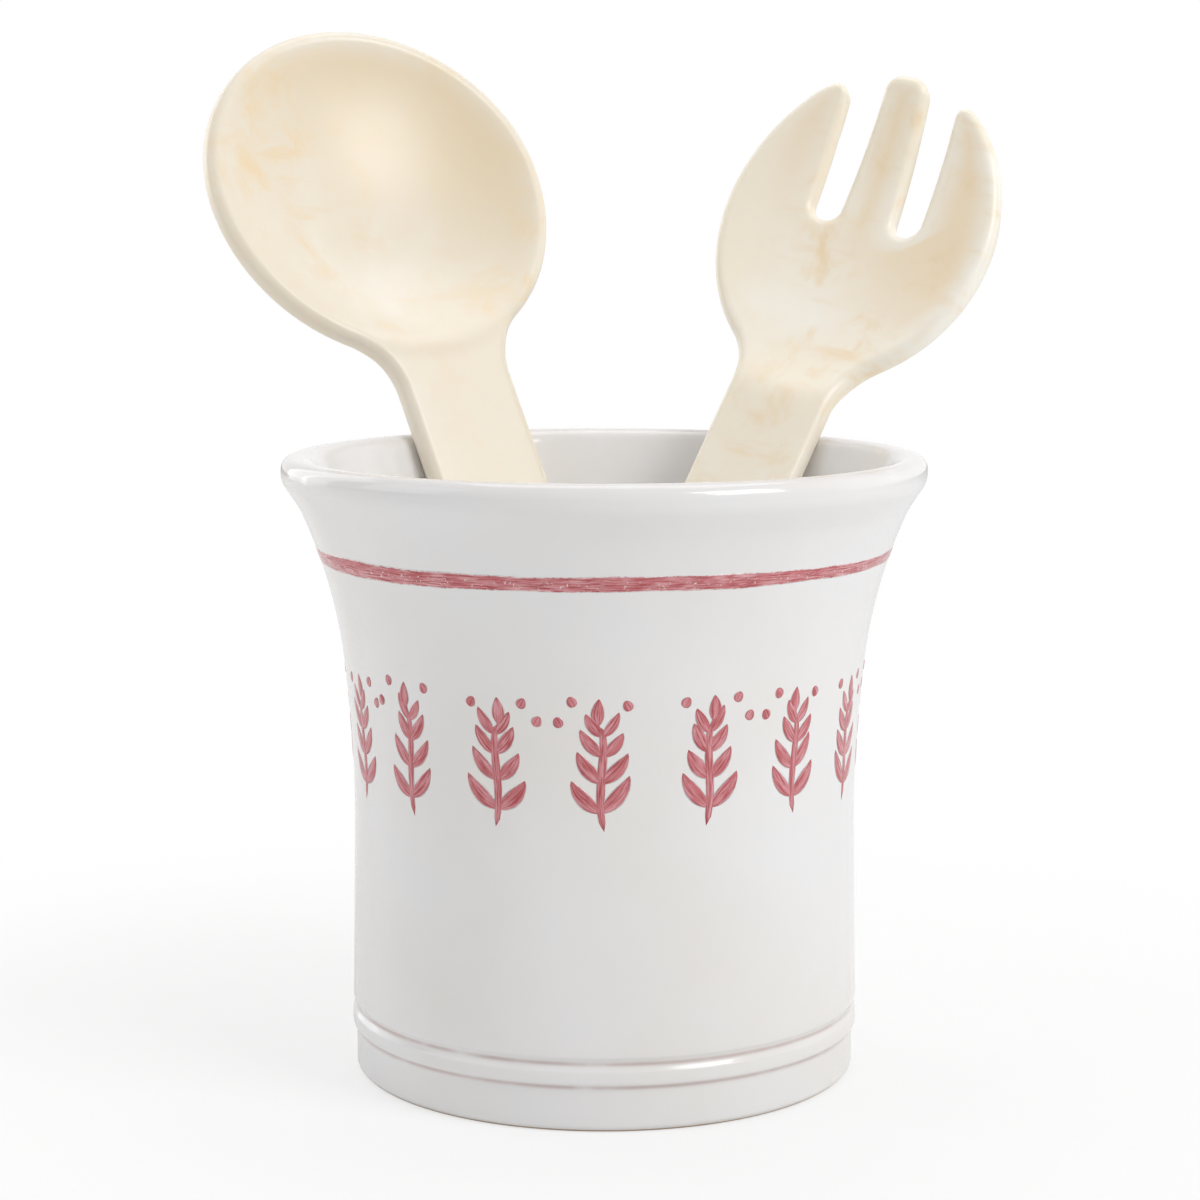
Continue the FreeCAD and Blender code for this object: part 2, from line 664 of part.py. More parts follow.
def main():
    doc = FreeCAD.newDocument("UtensilCrock")
    size = Sheet(doc)
    crock = make_crock(doc, size)
    spoon = make_server(doc, size, "spoon")
    fork = make_server(doc, size, "fork")
    settle(size, "spoon", spoon, crock)
    settle(size, "fork", fork, crock)
    doc.recompute()

    for item in doc.Objects:
        if "Invalid" in item.State or "Error" in item.State:
            raise RuntimeError("%s failed: %s" % (item.Name, item.State))
    bodies = (crock, spoon, fork)
    for body in bodies:
        shape = body.Shape
        if shape.isNull() or not shape.isValid() or len(shape.Solids) != 1:
            raise RuntimeError("%s is not one valid solid" % body.Label)
        print("%s: volume %.0f mm3" % (body.Label, shape.Volume))
    for one, other in ((crock, spoon), (crock, fork), (spoon, fork)):
        print("%s to %s: %.2f mm" % (one.Label, other.Label,
                                     one.Shape.distToShape(other.Shape)[0]))
    for body in (spoon, fork):
        along = body.Placement.Rotation.multVec(vec(0, 0, 1))
        print("%s slides out along (%.5f, %.5f, %.5f)" % (body.Label, along.x, along.y, along.z))

    os.makedirs("parts", exist_ok=True)
    for body in bodies:
        body.Shape.exportStep("parts/%s.step" % body.Label)


main()
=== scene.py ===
"""A glazed utensil crock with a serving spoon and a serving fork standing in it.

The crock is a turned surface with a painted band and a painted row of herb sprigs, and each
server is a pressed sheet with a rounded edge. Sizes are in millimetres, and are those that the
parts are made to, but for the servers' looser bend. Meshes are in metres in the row's frame:
+Z up, -Y towards the viewer.
"""

import json
import logging
import math
from collections.abc import Callable
from dataclasses import dataclass
from enum import Enum

import bmesh
import bpy
import numpy as np
from mathutils import Matrix


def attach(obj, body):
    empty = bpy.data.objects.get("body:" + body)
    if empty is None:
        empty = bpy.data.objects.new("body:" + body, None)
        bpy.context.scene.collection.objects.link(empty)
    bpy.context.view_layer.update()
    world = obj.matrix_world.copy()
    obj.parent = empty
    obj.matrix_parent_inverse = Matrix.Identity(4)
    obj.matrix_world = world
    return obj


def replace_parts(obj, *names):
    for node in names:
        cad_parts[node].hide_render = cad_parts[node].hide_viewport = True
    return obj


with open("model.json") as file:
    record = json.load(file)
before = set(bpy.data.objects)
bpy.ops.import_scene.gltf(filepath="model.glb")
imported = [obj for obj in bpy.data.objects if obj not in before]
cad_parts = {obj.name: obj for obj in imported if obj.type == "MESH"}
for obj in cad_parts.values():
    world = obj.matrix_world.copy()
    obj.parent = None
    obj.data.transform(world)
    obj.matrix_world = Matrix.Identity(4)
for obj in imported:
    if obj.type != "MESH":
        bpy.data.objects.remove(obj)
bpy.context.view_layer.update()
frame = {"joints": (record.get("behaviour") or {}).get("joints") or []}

MM = 0.001
STEP = 0.1  # spacing of the points of a run, before an outline is sampled
WELD = 1e-7  # metres; a mesh's points that are closer become one
LOG = logging.getLogger("crock")

Colour = tuple[float, float, float, float]
Place = tuple[float, float, float]
Array = np.ndarray
WHITE: Colour = (1.0, 1.0, 1.0, 1.0)


def tint(*screen: int) -> Colour:
    """Turn a colour as seen on a screen into the renderer's linear values.

    Args:
        screen: Red, green and blue, 0 to 255.

    Returns:
        Linear red, green and blue by the sRGB curve, and full alpha.
    """
    seen = np.array(screen) / 255
    linear = np.where(seen <= 0.04045, seen / 12.92, ((seen + 0.055) / 1.055) ** 2.4)
    return (*(float(part) for part in linear), 1.0)


# Plane geometry. A point of a section or of an outline is a complex number.


def unit(value: complex | Array) -> complex | Array:
    """Scale complex numbers to a length of 1."""
    return value / abs(value)


def read(at: Array, stops: Array, values: Array) -> Array:
    """Read complex values that are known at the stops, by straight interpolation."""
    return np.interp(at, stops, values.real) + 1j * np.interp(at, stops, values.imag)


def eased(value: Array, low: float, high: float) -> Array:
    """Rise smoothly from 0 at low to 1 at high: 3 t squared less 2 t cubed."""
    t = np.clip((value - low) / (high - low), 0, 1)
    return t * t * (3 - 2 * t)


def waver(bearing: Array, waves: tuple[tuple, ...]) -> Array:
    """Add up sine waves round the pot, each with its size, count and phase."""
    return sum(size * np.sin(count * bearing + phase) for size, count, phase in waves)


def bezier(share: float | Array) -> Array:
    """Weigh the four points of a Bezier curve at a share of its way."""
    rest = 1 - share
    return np.stack([rest ** 3, 3 * rest ** 2 * share, 3 * rest * share ** 2, share ** 3], -1)


class Turn(Enum):
    """Which way an arc is travelled."""

    LEFT = 1
    RIGHT = -1


@dataclass(frozen=True)
class Run:
    """A stretch of an outline: its points, and the unit normals that leave the material."""

    points: Array
    normals: Array


def straight(start: complex, end: complex) -> Run:
    """Draw the straight line from start to end, with the material on its left."""
    count = max(2, int(abs(end - start) / STEP))
    return Run(np.linspace(start, end, count), np.full(count, -1j * unit(end - start)))


def arc(centre: complex, start: complex, end: complex, turn: Turn) -> Run:
    """Draw the arc about centre from start to the direction of end.

    Args:
        centre: Middle of the circle.
        start: First point, which sets the radius.
        end: A point in the direction of the last one.
        turn: Left for an arc that bulges out of the material, right for a hollow one.

    Returns:
        The run; each point is the centre plus the first spoke turned by the angle so far.
    """
    sweep = turn.value * (turn.value * np.angle((end - centre) / (start - centre)) % (2 * np.pi))
    count = max(8, int(abs(sweep) * abs(start - centre) / STEP))
    spokes = (start - centre) * np.exp(1j * np.linspace(0, sweep, count))
    return Run(centre + spokes, turn.value * spokes / abs(start - centre))


def rounded(before: complex, corner: complex, after: complex, radius: float) -> Run:
    """Draw the arc that rounds the corner between two straight lines.

    Args:
        before: A point on the line that arrives.
        corner: Where the lines would meet.
        after: A point on the line that leaves.
        radius: Radius of the round.

    Returns:
        The run; it touches the lines radius / tan(half the angle) away from the corner.
    """
    come, go = unit(corner - before), unit(after - corner)
    turning = np.angle(go / come)
    half = (np.pi - abs(turning)) / 2
    centre = corner + unit(go - come) * radius / np.sin(half)
    reach = radius / np.tan(half)
    return arc(centre, corner - come * reach, corner + go * reach,
               Turn.LEFT if turning > 0 else Turn.RIGHT)


def nested(point: complex, heading: complex, centre: complex, reach: float) -> complex:
    """Find where a straight line comes within reach of a centre.

    Args:
        point: Start of the line.
        heading: Its unit direction.
        centre: What is approached.
        reach: The distance from it.

    Returns:
        The crossing of line and circle nearest to the start.
    """
    offset = (point - centre) / heading
    half = math.sqrt(reach ** 2 - offset.imag ** 2)
    return point + heading * min(-offset.real - half, -offset.real + half, key=abs)


class Outline:
    """Runs joined end to end, which can be read at any distance along them."""

    def __init__(self, runs: list[Run]) -> None:
        """Join the runs and measure the distance travelled to each of their points.

        Args:
            runs: The stretches, each from where the one before it ends.
        """
        self.points = np.concatenate([run.points for run in runs])
        self.normals = np.concatenate([run.normals for run in runs])
        self.travel = np.concatenate([[0.0], np.cumsum(np.abs(np.diff(self.points)))])
        self.stops = self.travel[np.cumsum([len(run.points) for run in runs]) - 1]

    def at(self, travel: Array) -> Run:
        """Read the points and unit normals at the given distances from the start."""
        return Run(read(travel, self.travel, self.points),
                   unit(read(travel, self.travel, self.normals)))

    def travel_at_height(self, height: float, after: float, before: float) -> float:
        """Find the distance at which the outline crosses a height, between two distances.

        Args:
            height: The height looked for.
            after: Least distance.
            before: Greatest distance.

        Returns:
            The distance of the point between them whose height is nearest.
        """
        off = np.abs(self.points.imag - height)
        off[(self.travel < after) | (self.travel > before)] = np.inf
        return float(self.travel[np.argmin(off)])


# Meshes.


def sheet_object(name: str, points: Array, ring: bool = True, loop: bool = False,
                 marks: dict[str, Array] | None = None) -> bpy.types.Object:
    """Make one object of one or many grids of points.

    Args:
        name: Name of the piece.
        points: Millimetres, shaped (grids, rows, columns, 3).
        ring: The last column joins the first one.
        loop: The last row joins the first one.
        marks: Named values for each point, shaped (grids, rows, columns) or with 3 after it.

    Returns:
        The object, with points that coincide merged, normals outwards and smooth shading.
    """
    grids, rows, columns = points.shape[:3]
    index = np.arange(grids * rows * columns).reshape(grids, rows, columns)
    near = index if loop else index[:, :-1]
    far = np.roll(index, -1, axis=1) if loop else index[:, 1:]
    if ring:
        corners = (near, np.roll(near, -1, axis=2), np.roll(far, -1, axis=2), far)
    else:
        corners = (near[:, :, :-1], near[:, :, 1:], far[:, :, 1:], far[:, :, :-1])
    quads = np.stack(corners, axis=-1).reshape(-1, 4)
    mesh = bpy.data.meshes.new(name)
    mesh.from_pydata((points.reshape(-1, 3) * MM).tolist(), [], quads.tolist())
    for mark, values in (marks or {}).items():
        kind, key = ("FLOAT_VECTOR", "vector") if values.ndim == 4 else ("FLOAT", "value")
        layer = mesh.attributes.new(mark, kind, "POINT")
        layer.data.foreach_set(key, values.astype(np.float32).ravel())
    work = bmesh.new()
    work.from_mesh(mesh)
    bmesh.ops.remove_doubles(work, verts=work.verts, dist=WELD)
    bmesh.ops.recalc_face_normals(work, faces=work.faces)
    work.to_mesh(mesh)
    work.free()
    mesh.polygons.foreach_set("use_smooth", np.ones(len(mesh.polygons), bool))
    mesh.update()
    made = bpy.data.objects.new(name, mesh)
    bpy.context.scene.collection.objects.link(made)
    return made


def dressed(piece: bpy.types.Object, material: bpy.types.Material, body: str) -> bpy.types.Object:
    """Give a piece its material, body and finish slot, and report it.

    Args:
        piece: The object.
        material: What it is made of.
        body: The CAD body that it moves with.

    Returns:
        The same object.
    """
    piece.data.materials.append(material)
    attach(piece, body)
    LOG.info("%s: %d faces, rides on %s", piece.name, len(piece.data.polygons), body)
    return piece


# Shader expressions.


def operator(operation: str, reflected: bool = False) -> Callable[..., "Sock"]:
    """Make a method of Sock that adds a Math node.

    Args:
        operation: The node's operation.
        reflected: The other value comes before the Sock.

    Returns:
        The method.
    """
    def method(self: "Sock", *other: "Sock | float") -> "Sock":
        """Return the outcome as a Sock."""
        return self.graph.math(operation, *((*other, self) if reflected else (self, *other)))
    return method


class Sock:
    """One output of a node. Arithmetic on it adds Math nodes to its graph."""

    def __init__(self, graph: "Graph", out: bpy.types.NodeSocket) -> None:
        """Wrap the output out of a node in graph."""
        self.graph = graph
        self.out = out

    __add__, __radd__ = operator("ADD"), operator("ADD", True)
    __sub__, __rsub__ = operator("SUBTRACT"), operator("SUBTRACT", True)
    __mul__, __rmul__ = operator("MULTIPLY"), operator("MULTIPLY", True)
    __abs__ = operator("ABSOLUTE")


class Graph:
    """The nodes of one material or world, and the expressions written into them."""

    def __init__(self, owner: bpy.types.Material | bpy.types.World) -> None:
        """Start an empty graph.

        Args:
            owner: What it belongs to.
        """
        owner.use_nodes = True
        self.tree = owner.node_tree
        self.tree.nodes.clear()

    def node(self, kind: str, settings: dict | None = None,
             values: dict | None = None) -> bpy.types.Node:
        """Add a node.

        Args:
            kind: Its type, without ShaderNode in front.
            settings: Its own settings, which are set first.
            values: For sockets by name or number, a Sock to link or a constant.

        Returns:
            The node.
        """
        made = self.tree.nodes.new("ShaderNode" + kind)
        for key, value in (settings or {}).items():
            setattr(made, key, value)
        for key, value in (values or {}).items():
            if isinstance(value, Sock):
                self.tree.links.new(value.out, made.inputs[key])
            else:
                made.inputs[key].default_value = value
        return made

    def out(self, node: bpy.types.Node, key: int | str = 0) -> Sock:
        """Wrap one output of a node."""
        return Sock(self, node.outputs[key])

    def math(self, operation: str, *values: Sock | float) -> Sock:
        """Add a Math node with the given operation on the given values."""
        return self.out(self.node("Math", {"operation": operation}, dict(enumerate(values))))

    def fade(self, value: Sock, low: float, high: float) -> Sock:
        """Map value smoothly to 0 at low and 1 at high; low may be the greater one."""
        return self.out(self.node("MapRange", {"interpolation_type": "SMOOTHSTEP"},
                                  {"Value": value, "From Min": low, "From Max": high}))

    def mix(self, share: Sock | float, first: Sock | Colour, second: Sock | Colour) -> Sock:
        """Mix two colours; a share of 1 gives the second one."""
        return self.out(self.node("Mix", {"data_type": "RGBA"},
                                  {0: share, 6: first, 7: second}), 2)

    def noise(self, place: Sock, scale: float, detail: float = 3.0, rough: float = 0.5,
              twist: float = 0.0) -> Sock:
        """Read cloudy noise of about 0.5, with scale features in a unit of place."""
        return self.out(self.node("TexNoise", {}, {
            "Vector": place, "Scale": scale, "Detail": detail, "Roughness": rough,
            "Distortion": twist}))

    def object_place(self) -> Sock:
        """Read where a point is on the object, in metres."""
        return self.out(self.node("TexCoord"), "Object")

    def stretched(self, place: Sock, scale: Place, shift: Place) -> Sock:
        """Scale a place along its axes and then shift it."""
        return self.out(self.node("Mapping", {}, {
            "Vector": place, "Scale": scale, "Location": shift}))

    def joined(self, x: Sock | float, y: Sock | float, z: Sock | float) -> Sock:
        """Make a vector of three values."""
        return self.out(self.node("CombineXYZ", {}, {0: x, 1: y, 2: z}))

    def parts(self, vector: Sock) -> tuple[Sock, Sock, Sock]:
        """Split a vector into its three values."""
        made = self.node("SeparateXYZ", {}, {0: vector})
        return self.out(made, 0), self.out(made, 1), self.out(made, 2)

    def mark(self, name: str, key: str = "Fac") -> Sock:
        """Read one of the mesh's own marks, Fac for a number and Vector for a place."""
        return self.out(self.node("Attribute", {"attribute_name": name}), key)

    def bump(self, height: Sock, depth: float) -> Sock:
        """Tilt the normal by a height from 0 to 1 that stands for depth metres."""
        return self.out(self.node("Bump", {}, {"Height": height, "Distance": depth}))

    def finish(self, values: dict) -> None:
        """Close a material with a Principled shader that has the given values."""
        shader = self.node("BsdfPrincipled", {}, values)
        self.node("OutputMaterial", {}, {0: self.out(shader)})


# Finishes.


@dataclass(frozen=True)
class Finish:
    """What a surface is made of."""

    def draw(self, graph: Graph) -> None:
        """Write the finish into a material's graph."""
        raise NotImplementedError

    def material(self, name: str) -> bpy.types.Material:
        """Make the material.

        Args:
            name: Its name.

        Returns:
            The material.
        """
        made = bpy.data.materials.new(name)
        self.draw(Graph(made))
        return made


@dataclass(frozen=True)
class TinGlaze(Finish):
    """Glossy opaque white glaze over pale clay, thin and rosy on edges and in grooves."""

    white: Colour = tint(238, 237, 237)
    warm: Colour = tint(236, 233, 229)
    thin: Colour = tint(206, 191, 187)
    clay: Colour = tint(186, 160, 130)
    pinhole: Colour = tint(140, 125, 115)
    pinhole_scale: float = 62.0
    gloss: float = 0.07
    index: float = 1.5
    peel_depth: float = 0.00012

    def surface(self, graph: Graph, place: Sock) -> tuple[Sock, Sock, Sock]:
        """Work out the glaze itself, which the painting shares.

        Args:
            graph: Where the nodes go.
            place: Place on the object, in metres.

        Returns:
            Colour, roughness, and a height from 0 to 1 for the bump.
        """
        clouds = graph.noise(place, 22.0)
        colour = graph.mix(graph.fade(clouds, 0.35, 0.75), self.white, self.warm)
        rough = self.gloss + 0.05 * graph.noise(place, 60.0, 2.0)
        peel = 0.75 * graph.noise(place, 70.0, 2.0) + 0.25 * graph.noise(place, 420.0, 1.0)
        return colour, rough, peel

    def draw(self, graph: Graph) -> None:
        """Write the glaze of the crock, which reads the marks thin and bare.

        Args:
            graph: The material's graph.
        """
        place = graph.object_place()
        colour, rough, peel = self.surface(graph, place)
        uneven = graph.noise(place, 90.0)
        thin = graph.mark("thin") * graph.fade(uneven, 0.1, 0.6)
        colour = graph.mix(thin, colour, self.thin)
        cells = graph.node("TexVoronoi", {}, {"Vector": place, "Scale": self.pinhole_scale})
        chosen = graph.fade(graph.parts(graph.out(cells, "Color"))[0], 0.86, 0.88)
        hole = graph.fade(graph.out(cells, "Distance"), 0.026, 0.014) * chosen
        colour = graph.mix(0.75 * hole, colour, self.pinhole)
        bare = graph.fade(graph.mark("bare") + 0.35 * (uneven - 0.5), 0.45, 0.6)
        graph.finish({
            "Base Color": graph.mix(bare, colour, self.clay), "Roughness": rough + 0.6 * bare,
            "IOR": self.index, "Normal": graph.bump(peel - 0.6 * hole, self.peel_depth)})


@dataclass(frozen=True)
class BrushPaint(TinGlaze):
    """Dusty red brushed under the glaze: streaks along the stroke, and darker pooled ends."""

    deep: Colour = tint(174, 74, 79)
    mid: Colour = tint(200, 112, 116)
    pale: Colour = tint(224, 166, 169)
    streak: float = 3.2
    flecks: float = 0.0
    pooled: float = 0.0
    ragged: float = 0.22

    def draw(self, graph: Graph) -> None:
        """Write the paint, which reads the marks along, across and run of its strokes.

        Along is in millimetres, across goes from -1 to 1, and run from 0 to 1.

        Args:
            graph: The material's graph.
        """
        white, rough, peel = self.surface(graph, graph.object_place())
        along, across = graph.mark("along"), graph.mark("across")
        hairs = graph.noise(graph.joined(0.09 * along, self.streak * across, 0.0), 1.6, 4.0, 0.6)
        wash = graph.noise(graph.joined(0.16 * along, 0.8 * across, 7.0), 1.0)
        colour = graph.mix(graph.fade(wash, 0.3, 0.7), self.mid, self.pale)
        colour = graph.mix(graph.fade(hairs, 0.44, 0.62), colour, self.deep)
        edge = graph.fade(abs(across), 0.55, 0.9)
        run = graph.mark("run")
        ends = graph.fade(run, 0.8, 0.98) + graph.fade(run, 0.1, 0.0)
        pool = self.pooled * (0.45 * edge + ends) * graph.fade(wash, 0.35, 0.6)
        colour = graph.mix(graph.math("MINIMUM", pool, 1.0), colour, self.deep)
        if self.flecks:
            spots = graph.noise(graph.joined(1.1 * along, 2.2 * across, 3.0), 1.5, 2.0)
            band = graph.fade(abs(across + 0.15), 0.75, 0.3)
            colour = graph.mix(self.flecks * graph.fade(spots, 0.64, 0.7) * band, colour, white)
        tear = graph.noise(graph.joined(0.5 * along, 1.2 * across, 11.0), 1.0, 4.0, 0.65)
        lost = graph.fade(abs(across) + 2.0 * self.ragged * (tear - 0.5), 0.8, 0.97)
        graph.finish({
            "Base Color": graph.mix(lost, colour, white), "Roughness": rough,
            "IOR": self.index, "Normal": graph.bump(peel + 0.5 * hairs, self.peel_depth)})


@dataclass(frozen=True)
class CastResin(Finish):
    """Cloudy ivory resin, satin, with honey-coloured patches and streaks deep in it, and tan
    painted shade in its dish.
    """

    ivory: Colour = tint(237, 227, 208)
    milk: Colour = tint(241, 234, 221)
    honey: Colour = tint(238, 212, 168)
    # painted shade: warm tan mixed into the dish in place of the shade that falls there
    shade: Colour = tint(234, 218, 188)
    patches: Place = (0.0, 0.0, 0.0)
    gloss: float = 0.38
    index: float = 1.5
    grain_depth: float = 0.00015

    def draw(self, graph: Graph) -> None:
        """Write the resin, which reads the marks own and painted shade of its server.

        Own is a place in the server's own frame, and the painted shade mark goes from 0 to 1 into
        the dish.

        Args:
            graph: The material's graph.
        """
        place = graph.mark("own", "Vector")
        slow = graph.stretched(place, (1.0, 1.0, 0.8), self.patches)
        long = graph.stretched(place, (0.35, 1.0, 1.5), (0.3, 0.1, 0.7))
        milky = graph.fade(graph.noise(slow, 24.0, 4.0, 0.6, 0.4), 0.4, 0.68)
        zone = graph.fade(graph.noise(slow, 13.0, 2.0), 0.42, 0.62)
        blots = graph.fade(graph.noise(slow, 85.0, 5.0, 0.62, 0.3), 0.48, 0.78)
        streaks = graph.fade(graph.noise(long, 80.0, 4.0, 0.6, 0.2), 0.54, 0.8)
        veins = graph.math("MAXIMUM", blots, streaks) * (0.15 + 0.85 * zone)
        # painted shade: the dish's shade mark, broken up by noise, sets how much tan shade is
        # painted in
        deep = graph.mark("painted_dish_shade") * (0.55 + 0.8 * graph.noise(slow, 30.0))
        colour = graph.mix(milky, self.ivory, self.milk)
        colour = graph.mix(graph.math("MINIMUM", deep, 1.0), colour, self.shade)
        colour = graph.mix(0.8 * veins, colour, self.honey)
        grain = graph.noise(place, 45.0)
        graph.finish({
            "Base Color": colour, "Roughness": self.gloss + 0.1 * (grain - 0.5),
            "IOR": self.index, "Subsurface Weight": 0.12, "Subsurface Scale": 1.0,
            "Subsurface Radius": (0.006, 0.004, 0.0025), "Coat Weight": 0.2,
            "Coat Roughness": 0.24, "Normal": graph.bump(grain, self.grain_depth)})


@dataclass(frozen=True)
class Paper(Finish):
    """Pale floor that keeps the object's shadow, and whitens with distance in metres."""

    pale: Colour = tint(246, 246, 246)
    lift: float = 0.66
    near: float = 0.09
    far: float = 0.3

    def draw(self, graph: Graph) -> None:
        """Write the paper: pale to the light, and lifted towards white for the camera.

        Args:
            graph: The material's graph.
        """
        x, y, _ = graph.parts(graph.object_place())
        away = graph.math("SQRT", x * x + y * y)
        camera = graph.out(graph.node("LightPath"), "Is Camera Ray")
        share = camera * (self.lift + (1 - self.lift) * graph.fade(away, self.near, self.far))
        pale = graph.node("BsdfDiffuse", {}, {"Color": self.pale})
        white = graph.node("Emission", {}, {"Color": WHITE, "Strength": 1.0})
        both = graph.node("MixShader", {}, {0: share, 1: graph.out(pale), 2: graph.out(white)})
        graph.node("OutputMaterial", {}, {0: graph.out(both)})


# The crock.


@dataclass(frozen=True)
class Crock:
    """The thrown pot: turned wall, flare, rolled lip, foot band with two grooves, and hollow."""

    height: float = 153.4
    rim_radius: float = 79.45
    lip_thickness: float = 6.9
    lip_height: float = 12.4
    lip_overhang: float = 4.4
    lip_face: float = 5.8
    lip_crown_round: float = 3.3
    lip_inner_round: float = 4.1
    lip_under_round: float = 6.0
    lip_blend_round: float = 14.0
    flare_radius: float = 311.0
    flare_height: float = 103.8
    waist_radius: float = 62.4
    waist_height: float = 61.0
    shoulder_radius: float = 63.35
    foot_radius: float = 62.3
    foot_height: float = 10.2
    foot_bevel: float = 1.3
    bead_height: float = 6.4
    groove_radius: float = 1.8
    groove_depth: float = 0.95
    wall: float = 6.5
    floor_thickness: float = 8.0
    floor_round: float = 9.0
    recess_radius: float = 54.0
    recess_depth: float = 1.8
    glaze_flow: float = 0.4
    pace: float = 2.2
    bend: float = 0.09  # radians
    thrown: tuple[float, float] = (2, 26)  # heights over which the throwing's waves come up
    turned: tuple[float, float] = (148.5, 153)  # and over which they are gone again
    unglazed: tuple[float, float] = (0.25, 0.95)  # heights over which the bare ring ends
    columns: int = 320
    rows: int = 290

    def flare(self, foot: complex, waist: complex, slow_radius: float,
              end: complex) -> tuple[complex, complex, complex]:
        """Find the two arcs that carry the wall from the waist to the lip.

        Args:
            foot: Lower end of the straight wall.
            waist: Its upper end, where the first arc leaves along it.
            slow_radius: Radius of the first arc.
            end: Where the second arc ends.

        Returns:
            Centre of the first arc, the joint, and the centre of the second arc.
        """
        slow = waist - 1j * unit(waist - foot) * slow_radius
        rise = (self.flare_height - slow.imag) / slow_radius
        joint = complex(slow.real - slow_radius * math.sqrt(1 - rise ** 2), self.flare_height)
        normal = (slow - joint) / slow_radius
        chord = end - joint
        reach = abs(chord) ** 2 / (2 * (chord * normal.conjugate()).real)
        return slow, joint, joint + reach * normal

    def sections(self) -> tuple[list[Run], list[Run]]:
        """Draw the pot's section, radius across and height up.

        Returns:
            The outside from the base's middle up to the crown, and the inside from the
            crown down to the floor's middle, both with the clay on the left.
        """
        foot = complex(self.shoulder_radius, self.foot_height)
        waist = complex(self.waist_radius, self.waist_height)
        under = complex(self.rim_radius - self.lip_overhang, self.height - self.lip_height)
        lip = complex(self.rim_radius, self.height - self.lip_face)
        crown = complex(self.rim_radius, self.height)
        rise = unit(waist - foot)
        slow, joint, quick = self.flare(foot, waist, self.flare_radius, under)

        band = self.foot_radius
        bottom = [1j * self.recess_depth, self.recess_radius + 1j * self.recess_depth,
                  self.recess_radius + 0j, band - self.foot_bevel + 0j,
                  band + 1j * self.foot_bevel, band + 1j * self.foot_height]
        outside = [straight(a, b) for a, b in zip(bottom, bottom[1:])]

        spare = self.groove_radius - self.groove_depth
        low_middle = foot + spare
        low_start = low_middle - self.groove_radius
        low_end = nested(foot, rise, low_middle, self.groove_radius)
        if low_end.imag < foot.imag:
            low_end = 2 * foot - low_end
        high = foot + rise * self.bead_height / rise.imag
        bite = rise * math.sqrt(self.groove_radius ** 2 - spare ** 2)
        outside += [
            straight(bottom[-1], low_start),
            arc(low_middle, low_start, low_end, Turn.RIGHT),
            straight(low_end, high - bite),
            arc(high + spare, high - bite, high + bite, Turn.RIGHT),
            straight(high + bite, waist), arc(slow, waist, joint, Turn.RIGHT)]

        lean = unit(lip - under)
        blend, big = self.lip_blend_round, abs(quick - under)
        hub = nested(under - 1j * lean * blend, lean, quick, big - blend)
        leave = quick + (hub - quick) * big / (big - blend)
        land = hub + 1j * lean * blend
        under_lip = rounded(under, lip, crown, self.lip_under_round)
        over_lip = rounded(lip, crown, crown - 1, self.lip_crown_round)
        outside += [
            arc(quick, joint, leave, Turn.RIGHT), arc(hub, leave, land, Turn.RIGHT),
            straight(land, under_lip.points[0]), under_lip,
            straight(under_lip.points[-1], over_lip.points[0]), over_lip]

        mouth = complex(self.rim_radius - self.lip_thickness, self.height)
        middle = 1j * self.floor_thickness
        corner = middle + self.shoulder_radius - self.wall
        narrow = waist - self.wall
        slow, joint, quick = self.flare(corner, narrow, self.flare_radius + self.wall, mouth)
        inner, big = self.lip_inner_round, abs(quick - mouth)
        hub = nested(mouth - 1j * inner, 1, quick, big - inner)
        touch = quick + (hub - quick) * big / (big - inner)
        heel = rounded(narrow, corner, middle, self.floor_round)
        inside = [
            straight(over_lip.points[-1], hub + 1j * inner),
            arc(hub, hub + 1j * inner, touch, Turn.LEFT),
            arc(quick, touch, joint, Turn.LEFT), arc(slow, joint, narrow, Turn.LEFT),
            straight(narrow, heel.points[0]), heel, straight(heel.points[-1], middle)]
        return outside, inside

    def glazed(self, runs: list[Run]) -> Array:
        """Let the glaze flow over a section's corners.

        The section is averaged with a bell curve that is glaze_flow wide, its ends held.

        Args:
            runs: The section.

        Returns:
            Its softened points, evenly spaced.
        """
        outline = Outline(runs)
        points = outline.at(np.arange(0, outline.travel[-1], STEP)).points
        reach = int(4 * self.glaze_flow / STEP)
        weights = np.exp(-0.5 * (np.arange(-reach, reach + 1) * STEP / self.glaze_flow) ** 2)
        held = np.concatenate([2 * points[0] - points[reach:0:-1], points,
                               2 * points[-1] - points[-2:-reach - 2:-1]])
        return np.convolve(held, weights / weights.sum(), mode="valid")

    def profile(self) -> Array:
        """Sample the whole section, closer together where it turns.

        Returns:
            The points. A point is due for each pace of travel and for each bend of turning,
            and they are then shared out over the number of rows.
        """
        outside, inside = self.sections()
        points = self.glazed(outside + inside)
        heading = np.angle(np.diff(points))
        turning = np.abs(np.angle(np.exp(1j * np.diff(heading, prepend=heading[0]))))
        turning = np.convolve(turning, np.ones(5) / 5, "same")
        demand = np.abs(np.diff(points)) / self.pace + turning / self.bend
        travel = np.concatenate([[0.0], np.cumsum(demand)])
        sampled = read(np.linspace(0, travel[-1], self.rows), travel, points)
        sampled[0], sampled[-1] = 1j * self.recess_depth, 1j * self.floor_thickness
        return sampled

    def throwing(self, bearing: Array, height: Array) -> Array:
        """Work out how far hand work leaves the outside from round, in waves that drift."""
        waves = waver(bearing, (
            (0.10, 2, 0.6), (0.07, 3, 2 + height / 38), (0.04, 5, -height / 21)))
        return waves * eased(height, *self.thrown) * (1 - eased(height, *self.turned))

